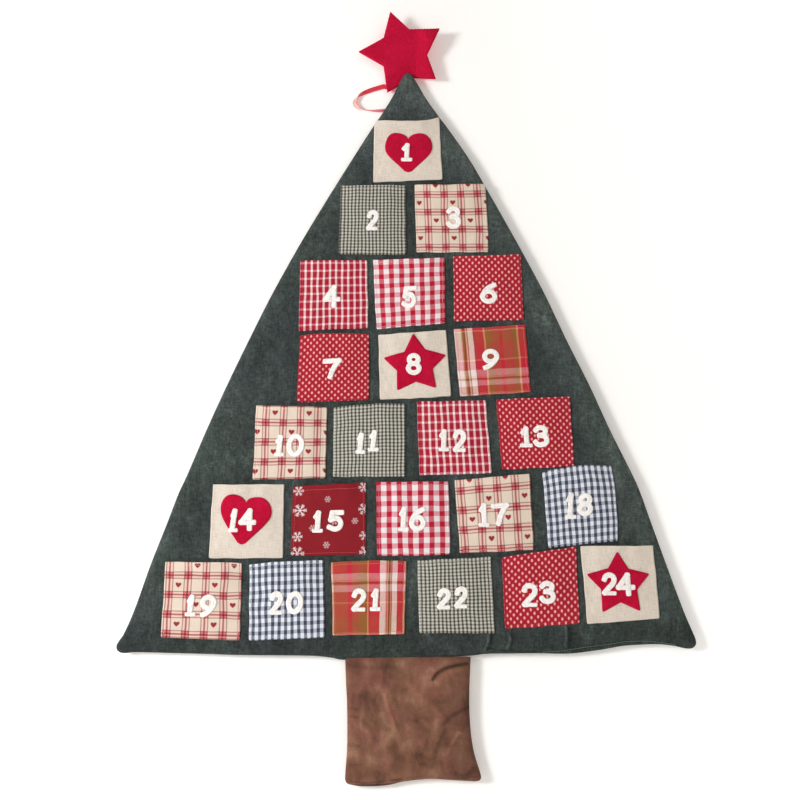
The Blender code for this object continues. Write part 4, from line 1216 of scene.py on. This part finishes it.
def felt_piece(name, outlines, thickness, roll, below, slot, stands_for, gap=0.9 * MM, sewn=()):
    """A felt shape that lies on what is below it, with softly rolled edges."""
    rims = np.vstack(outlines)
    shapes, count = [], 0
    for outline in outlines:
        shapes.append(list(range(count, count + len(outline))))
        count += len(outline)
    spots, faces = cut_flat(rims, shapes)
    border = open_edges(faces)
    starts, ends = spots[[a for a, _ in border]], spots[[b for _, b in border]]
    chords = ends - starts
    inward = unit(np.column_stack([-chords[:, 1], chords[:, 0]]))
    points = [rims, kept_in(lattice(rims, gap), gap * 0.5 + roll, outlines, starts, ends)]
    for depth in [roll * share for share in ROLL_RINGS]:
        points.append(kept_in((starts + ends) / 2 + inward * depth, depth * 0.93, outlines, starts, ends))
    for line in sewn:
        for row in GROOVE_ROWS:
            points.append(kept_in(line + beside(line) * row * GROOVE_WIDTH, roll, outlines, starts, ends))
    flats, faces = cut_flat(np.vstack(points), shapes)
    lift = dome(line_distance(flats, starts, ends) / roll)
    height = thickness * (0.45 + 0.55 * lift)
    height += ripple(flats, 5 * MM, thickness * 4000) * 0.07 * MM * lift
    if sewn:
        middle = np.min([line_distance(flats, line[:-1], line[1:]) for line in sewn], axis=0)
        height -= GROOVE_DEPTH * bell(middle, GROOVE_WIDTH)
    ground = front_levels(below, flats, FACE) - TOUCH
    places = [*at_levels(flats, ground - height), *at_levels(flats, ground)]
    count = len(flats)
    sides = [(b, a, count + a, count + b) for a, b in open_edges(faces)]
    piece = make_mesh(name, places, two_sided(faces, count) + sides, FELT_LOOKS[slot], stands_for)
    drop_loose(piece)
    return piece


def drop_loose(piece):
    """Drops the mesh's loose points."""
    bm = bmesh.new()
    bm.from_mesh(piece.data)
    bmesh.ops.delete(bm, geom=[vert for vert in bm.verts if not vert.link_faces], context="VERTS")
    bm.to_mesh(piece.data)
    bm.free()


def stroke_outline(line, half):
    """The outline of a stroke with blunt ends that have round corners."""
    side = beside(line) * half
    caps = []
    for end, edge in ((line[-1], -side[-1]), (line[0], side[0])):
        out = np.array((-edge[1], edge[0]))
        angles = np.linspace(0, math.pi, 9)[1:-1]
        caps.append([end + edge * math.copysign(abs(math.cos(a)) ** CAP_SQUARENESS, math.cos(a))
                     + out * math.sin(a) ** CAP_SQUARENESS for a in angles])
    return np.array([*(line - side), *caps[0], *(line + side)[::-1], *caps[1]])


def digit_lines(digit, box, level):
    """A digit's centre lines in a box of left, right, top, bottom and lean: each line, whether it is
    closed and half its width."""
    left, right, top, bottom, lean = box
    half = DIGIT_STROKE / 2
    low, high = flat([(left, bottom - DIGIT_TRIM), (right, top)], level)
    low, high = low + half, high - half
    width, height = high - low
    shear = math.tan(math.radians(lean))
    placed = []
    for stroke in DIGIT_SHARES[digit]:
        closed = isinstance(stroke[0], float)
        if closed:
            cx, cy, rx, ry = stroke
            angles = np.linspace(0, 2 * math.pi, 24, endpoint=False)
            shares = np.column_stack([cx + rx * np.cos(angles), cy + ry * np.sin(angles)])
        else:
            shares = spline(stroke, 5) if len(stroke) > 2 else np.array(stroke, dtype=float)
        foot = not closed and np.all(shares[:, 1] == 0)
        wide = half * (DIGIT_FOOT if foot else 1)
        if foot and digit == "1":
            room, spare = 0, half - wide
        else:
            room, spare = abs(shear) * height, 0
        up = shares[:, 1] * height
        start = low[0] - spare + (room if shear < 0 else 0)
        x = start + shares[:, 0] * (width - room + 2 * spare) + shear * up
        placed.append((np.column_stack([x, low[1] + up - half + wide]), closed, wide))
    return placed


def make_number(number, below):
    """A number's felt digits, each sewn down along its middle."""
    runs = []
    digits = [row[1:] for row in DIGITS_PX if row[0] == number]
    for place, (digit, *box) in enumerate(digits, start=1):
        left, right, top, bottom, _ = box
        level = level_at(below, (left + right) / 2, (top + bottom) / 2) - FELT
        outlines, loops = [], []
        for line, closed, wide in digit_lines(digit, box, level):
            half = len(line) // 2
            line = np.vstack([line, line[:1]]) if closed else line
            parts = (line[:half + 1], line[half:]) if closed else (line,)
            outlines += [stroke_outline(part, wide) for part in parts]
            loops.append(respaced(line, 1 * MM, closed=False))
        name, nodes = f"digit_{number:02d}_{place}", [f"number_{number:02d}"] if place == 1 else ()
        piece = felt_piece(name, outlines, FELT, 0.6 * MM, below, "white_felt", nodes, sewn=loops)
        felt = surface_of(piece)
        for loop in loops:
            runs += sewn_line(loop, felt, 1.7 * MM, 2.3 * MM, level)
    make_stitches(f"digit_stitches_{number:02d}", runs, 0.22 * MM, "digit")


def heart_outline(places):
    """A felt heart through its tip, right side, lobe, notch, lobe and left side."""
    tip, right, lobe_right, notch, lobe_left, left = places
    width = right[0] - left[0]
    up = np.array((0, width))
    halves = []
    for side, lobe, out in ((right, lobe_right, width), (left, lobe_left, -width)):
        out = np.array((out, 0))
        halves.append([
            (tip, tip + (side - tip) * 0.45 + out * 0.03, side - up * 0.2, side),
            (side, side + up * 0.17, lobe + out * 0.15, lobe),
            (lobe, lobe - out * 0.14, notch + out * 0.03 + up * 0.08, notch),
        ])
    outline = []
    for a, b, c, d in halves[0] + [span[::-1] for span in reversed(halves[1])]:
        for t in np.arange(10) / 10:
            outline.append(a * (1 - t) ** 3 + 3 * b * t * (1 - t) ** 2 + 3 * c * t**2 * (1 - t) + d * t**3)
    outline[0] = (outline[-1] + outline[0] + outline[1]) / 3
    return np.array(outline)


def rounded_star(points, radius):
    """A star's outline with its tips, which are every other point, slightly rounded."""
    outline = []
    for i, point in enumerate(points):
        ahead = points[(i + 1) % len(points)] - point
        run = radius * (0.5 if i % 2 else 2.2)
        start, end = point + unit(points[i - 1] - point) * run, point + unit(ahead) * run
        for t in (0, 0.25, 0.5, 0.75, 1):
            outline.append((1 - t) ** 2 * start + 2 * t * (1 - t) * point + t**2 * end)
        outline += [point + ahead * t for t in np.linspace(0.15, 0.85, 8)]
    return np.array(outline)


def make_patch(number, ground):
    """The felt heart or star of a pocket that has one."""
    kind = "heart" if number in HEARTS_PX else "star"
    pixels = {**HEARTS_PX, **STARS_PX}[number]
    places = flat(pixels, level_at(ground, *np.mean(pixels, axis=0)) - APPLIQUE)
    outline = heart_outline(places) if kind == "heart" else rounded_star(places, STAR_TIP_RADIUS)
    name, nodes = f"{kind}_patch_{number:02d}", [f"{kind}_{number:02d}"]
    return felt_piece(name, [outline], APPLIQUE, 0.8 * MM, ground, "red_felt", nodes, gap=1.6 * MM)


def star_lean(x, z):
    """How far forward the top star curls at a place: towards its top, and clear of the tree at its right."""
    up = max(0, (z - STAR_LEAN_FROM) / (STAR_LEAN_TO - STAR_LEAN_FROM)) ** 1.3
    beyond = (x - slants(z)[1] - 2 * MM) / STAR_CURL_REACH
    return min(STAR_LEAN * up + STAR_CURL * smooth(beyond), STAR_LEAN)


def square(across, up, place):
    """The corners of a rectangle, each made by a function of its two half sizes with signs."""
    return [place(x * across, z * up) for x, z in ((-1, -1), (1, -1), (1, 1), (-1, 1))]


def make_top_star():
    """The thick felt star behind the tip."""
    low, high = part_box("star_topper")
    outline = rounded_star(flat(TOP_STAR_PX, low.y), 0.5 * MM)
    middle = outline.mean(axis=0)
    corners = square(0.2, 0.2, lambda x, z: Vector((middle[0] + x, high.y, middle[1] + z)))
    below = BVHTree.FromPolygons(corners, [(0, 1, 2, 3)])
    star = felt_piece("star_felt", [outline], high.y - low.y, 0.8 * MM, below, "red_felt", ["star_topper"],
                      gap=2.2 * MM)
    for vert in star.data.vertices:
        vert.co += (EYE - vert.co) * star_lean(vert.co.x, vert.co.z) / (vert.co.y - EYE.y)


# Ribbon

RIBBON_COLUMNS = (-0.5, -0.25, 0, 0.25, 0.5)
RIBBON_SECTION = [(x, -0.5) for x in RIBBON_COLUMNS] + [(x, 0.5) for x in reversed(RIBBON_COLUMNS)]
REVERSE_HIGHLIGHT_SIDES = range(5, 9)


def make_ribbon():
    """The satin hanging loop, flat where it is stitched and a little on edge along its free part."""
    line = spline([(x, -z, y) for x, y, z in RIBBON_ROUTE], RIBBON_STEPS)
    runs = runs_along(line)
    leans = np.radians(np.interp(runs / runs[-1], *zip(*RIBBON_LEANS)))
    shifts = np.interp(runs / runs[-1], *zip(*RIBBON_SHIFTS)) * MM
    points = []
    for point, tangent, lean, shift in zip(line, unit(np.gradient(line, axis=0)), leans, shifts):
        aside = unit(np.cross(tangent, (0, 1, 0)))
        through = np.cross(aside, tangent)
        wide = (aside * math.cos(lean) + through * math.sin(lean)) * RIBBON_WIDTH_SEEN
        thin = (through * math.cos(lean) - aside * math.sin(lean)) * RIBBON_THICKNESS
        points += [point + aside * shift + wide * across + thin * depth for across, depth in RIBBON_SECTION]
    sides = len(RIBBON_SECTION)
    faces = tube_faces(0, len(line), sides)
    ribbon = make_mesh("ribbon_loop", points, faces, RED_SATIN, ["hanging_loop"], "loop")
    # The faces of the ribbon's reverse side take the pale satin, a painted highlight where the turn shows
    # them.
    ribbon.data.materials.append(SATIN_REVERSE_HIGHLIGHT)
    for face in ribbon.data.polygons[:(len(line) - 1) * sides]:
        face.material_index = int(face.index % sides in REVERSE_HIGHLIGHT_SIDES)
    ribbon.data.set_sharp_from_angle(angle=math.radians(50))


# The object

tree_pad = pad("tree", tree_outline(), 15 * MM, 6 * MM, tree_relief, HEM_FOLDS_PX, tree_painted_light, no_droop,
               GREEN_FELT)
trunk_pad = pad("trunk", trunk_outline(), 9 * MM, 3 * MM, trunk_relief, TRUNK_CREASES_PX, trunk_darker_right,
                trunk_droop, BROWN_SUEDE)
make_top_star()
make_ribbon()
tree_surface = surface_of(tree_pad)
make_hem_seam(tree_surface)
for number in range(1, len(POCKETS_PX) + 1):
    pocket = make_pocket(number, tree_surface)
    ground = surface_of(pocket)
    if number in HEARTS_PX or number in STARS_PX:
        ground = surface_of(pocket, make_patch(number, ground))
    make_number(number, ground)


# Stage, light and camera

WALL_PAINT = (0.97, 0.95, 0.915)
WALL_GLOW = 0.14
WALL_GLOW_RISE = 0.2
WALL_GLOW_REACH = (0.25, 0.6)
WALL_LEVEL = 0.0045
FLOOR_HEIGHT = -1.5
STAGE_REACH = 3.0


def make_plane(name, corners, material):
    """A plane of the stage."""
    mesh = bpy.data.meshes.new(name)
    mesh.from_pydata(corners, [], [(0, 1, 2, 3)])
    mesh.materials.append(material)
    piece = bpy.data.objects.new(name, mesh)
    bpy.context.scene.collection.objects.link(piece)


def make_stage():
    """A white wall behind the calendar, open to shadows and to views from behind, and a pale floor."""
    looks = Looks("wall_looks", 1.0, 0.0, 0.0)
    path, facing = looks.node("LightPath"), looks.node("NewGeometry")
    place = looks.node("SeparateXYZ", {0: facing.outputs["Position"]})
    x, z, behind, shadow = [Field(looks.tree, socket) for socket in (
        place.outputs[0], place.outputs[2], facing.outputs["Backfacing"], path.outputs["Is Shadow Ray"])]
    out = x.size() + (z - LOOK_AT.z).size() * 0.3
    looks.put(looks.shader.inputs["Emission Color"], (1, 1, 1))
    glow = out.between(*WALL_GLOW_REACH) * WALL_GLOW_RISE + WALL_GLOW
    looks.put(looks.shader.inputs["Emission Strength"], glow)
    clear = looks.node("BsdfTransparent").outputs[0]
    mixed = looks.node("MixShader", {0: behind.most(shadow), 1: looks.shader.outputs[0], 2: clear})
    looks.put(looks.tree.nodes["Material Output"].inputs[0], mixed.outputs[0])
    wall = square(STAGE_REACH, -FLOOR_HEIGHT, lambda x, z: (x, WALL_LEVEL, z))
    make_plane("wall", wall, looks.paint(WALL_PAINT))
    floor = square(STAGE_REACH, STAGE_REACH, lambda x, y: (x, y, FLOOR_HEIGHT))
    make_plane("floor", floor, Looks("floor_looks", 1.0, 0.0, 0.0).paint((0.9, 0.9, 0.9)))


def make_lamp(name, place, size, power, colour):
    """A square soft light that faces the calendar's middle."""
    data = bpy.data.lights.new(name, "AREA")
    data.shape = "SQUARE"
    data.size = size
    data.energy = power
    data.color = colour
    lamp = bpy.data.objects.new(name, data)
    lamp.location = place
    lamp.rotation_euler = (LOOK_AT - Vector(place)).to_track_quat("-Z", "Y").to_euler()
    bpy.context.scene.collection.objects.link(lamp)


def make_camera():
    data = bpy.data.cameras.new("camera")
    data.sensor_width = SENSOR_MM
    data.lens = FOCAL_PX / IMAGE_PX * SENSOR_MM
    camera = bpy.data.objects.new("camera", data)
    camera.location = EYE
    camera.rotation_euler = (-TOWARDS).to_track_quat("-Z", "Y").to_euler()
    bpy.context.scene.collection.objects.link(camera)
    bpy.context.scene.camera = camera


make_stage()
make_lamp("key", (-1.75, -1.45, -0.38), 0.5, 35, (0.975, 1.0, 1.03))
make_lamp("fill", (1.2, -2.2, 0.4), 1.6, 8, (1.03, 1.0, 0.96))
make_lamp("behind", (0.9, 2.2, 0.3), 1.6, 26, (1.0, 1.0, 1.0))
make_camera()
world = bpy.data.worlds.new("studio")
world.use_nodes = True
world.node_tree.nodes["Background"].inputs[0].default_value = (1.06, 0.995, 0.93, 1)
world.node_tree.nodes["Background"].inputs[1].default_value = 0.33
bpy.context.scene.world = world
bpy.context.scene.view_settings.view_transform = "Standard"
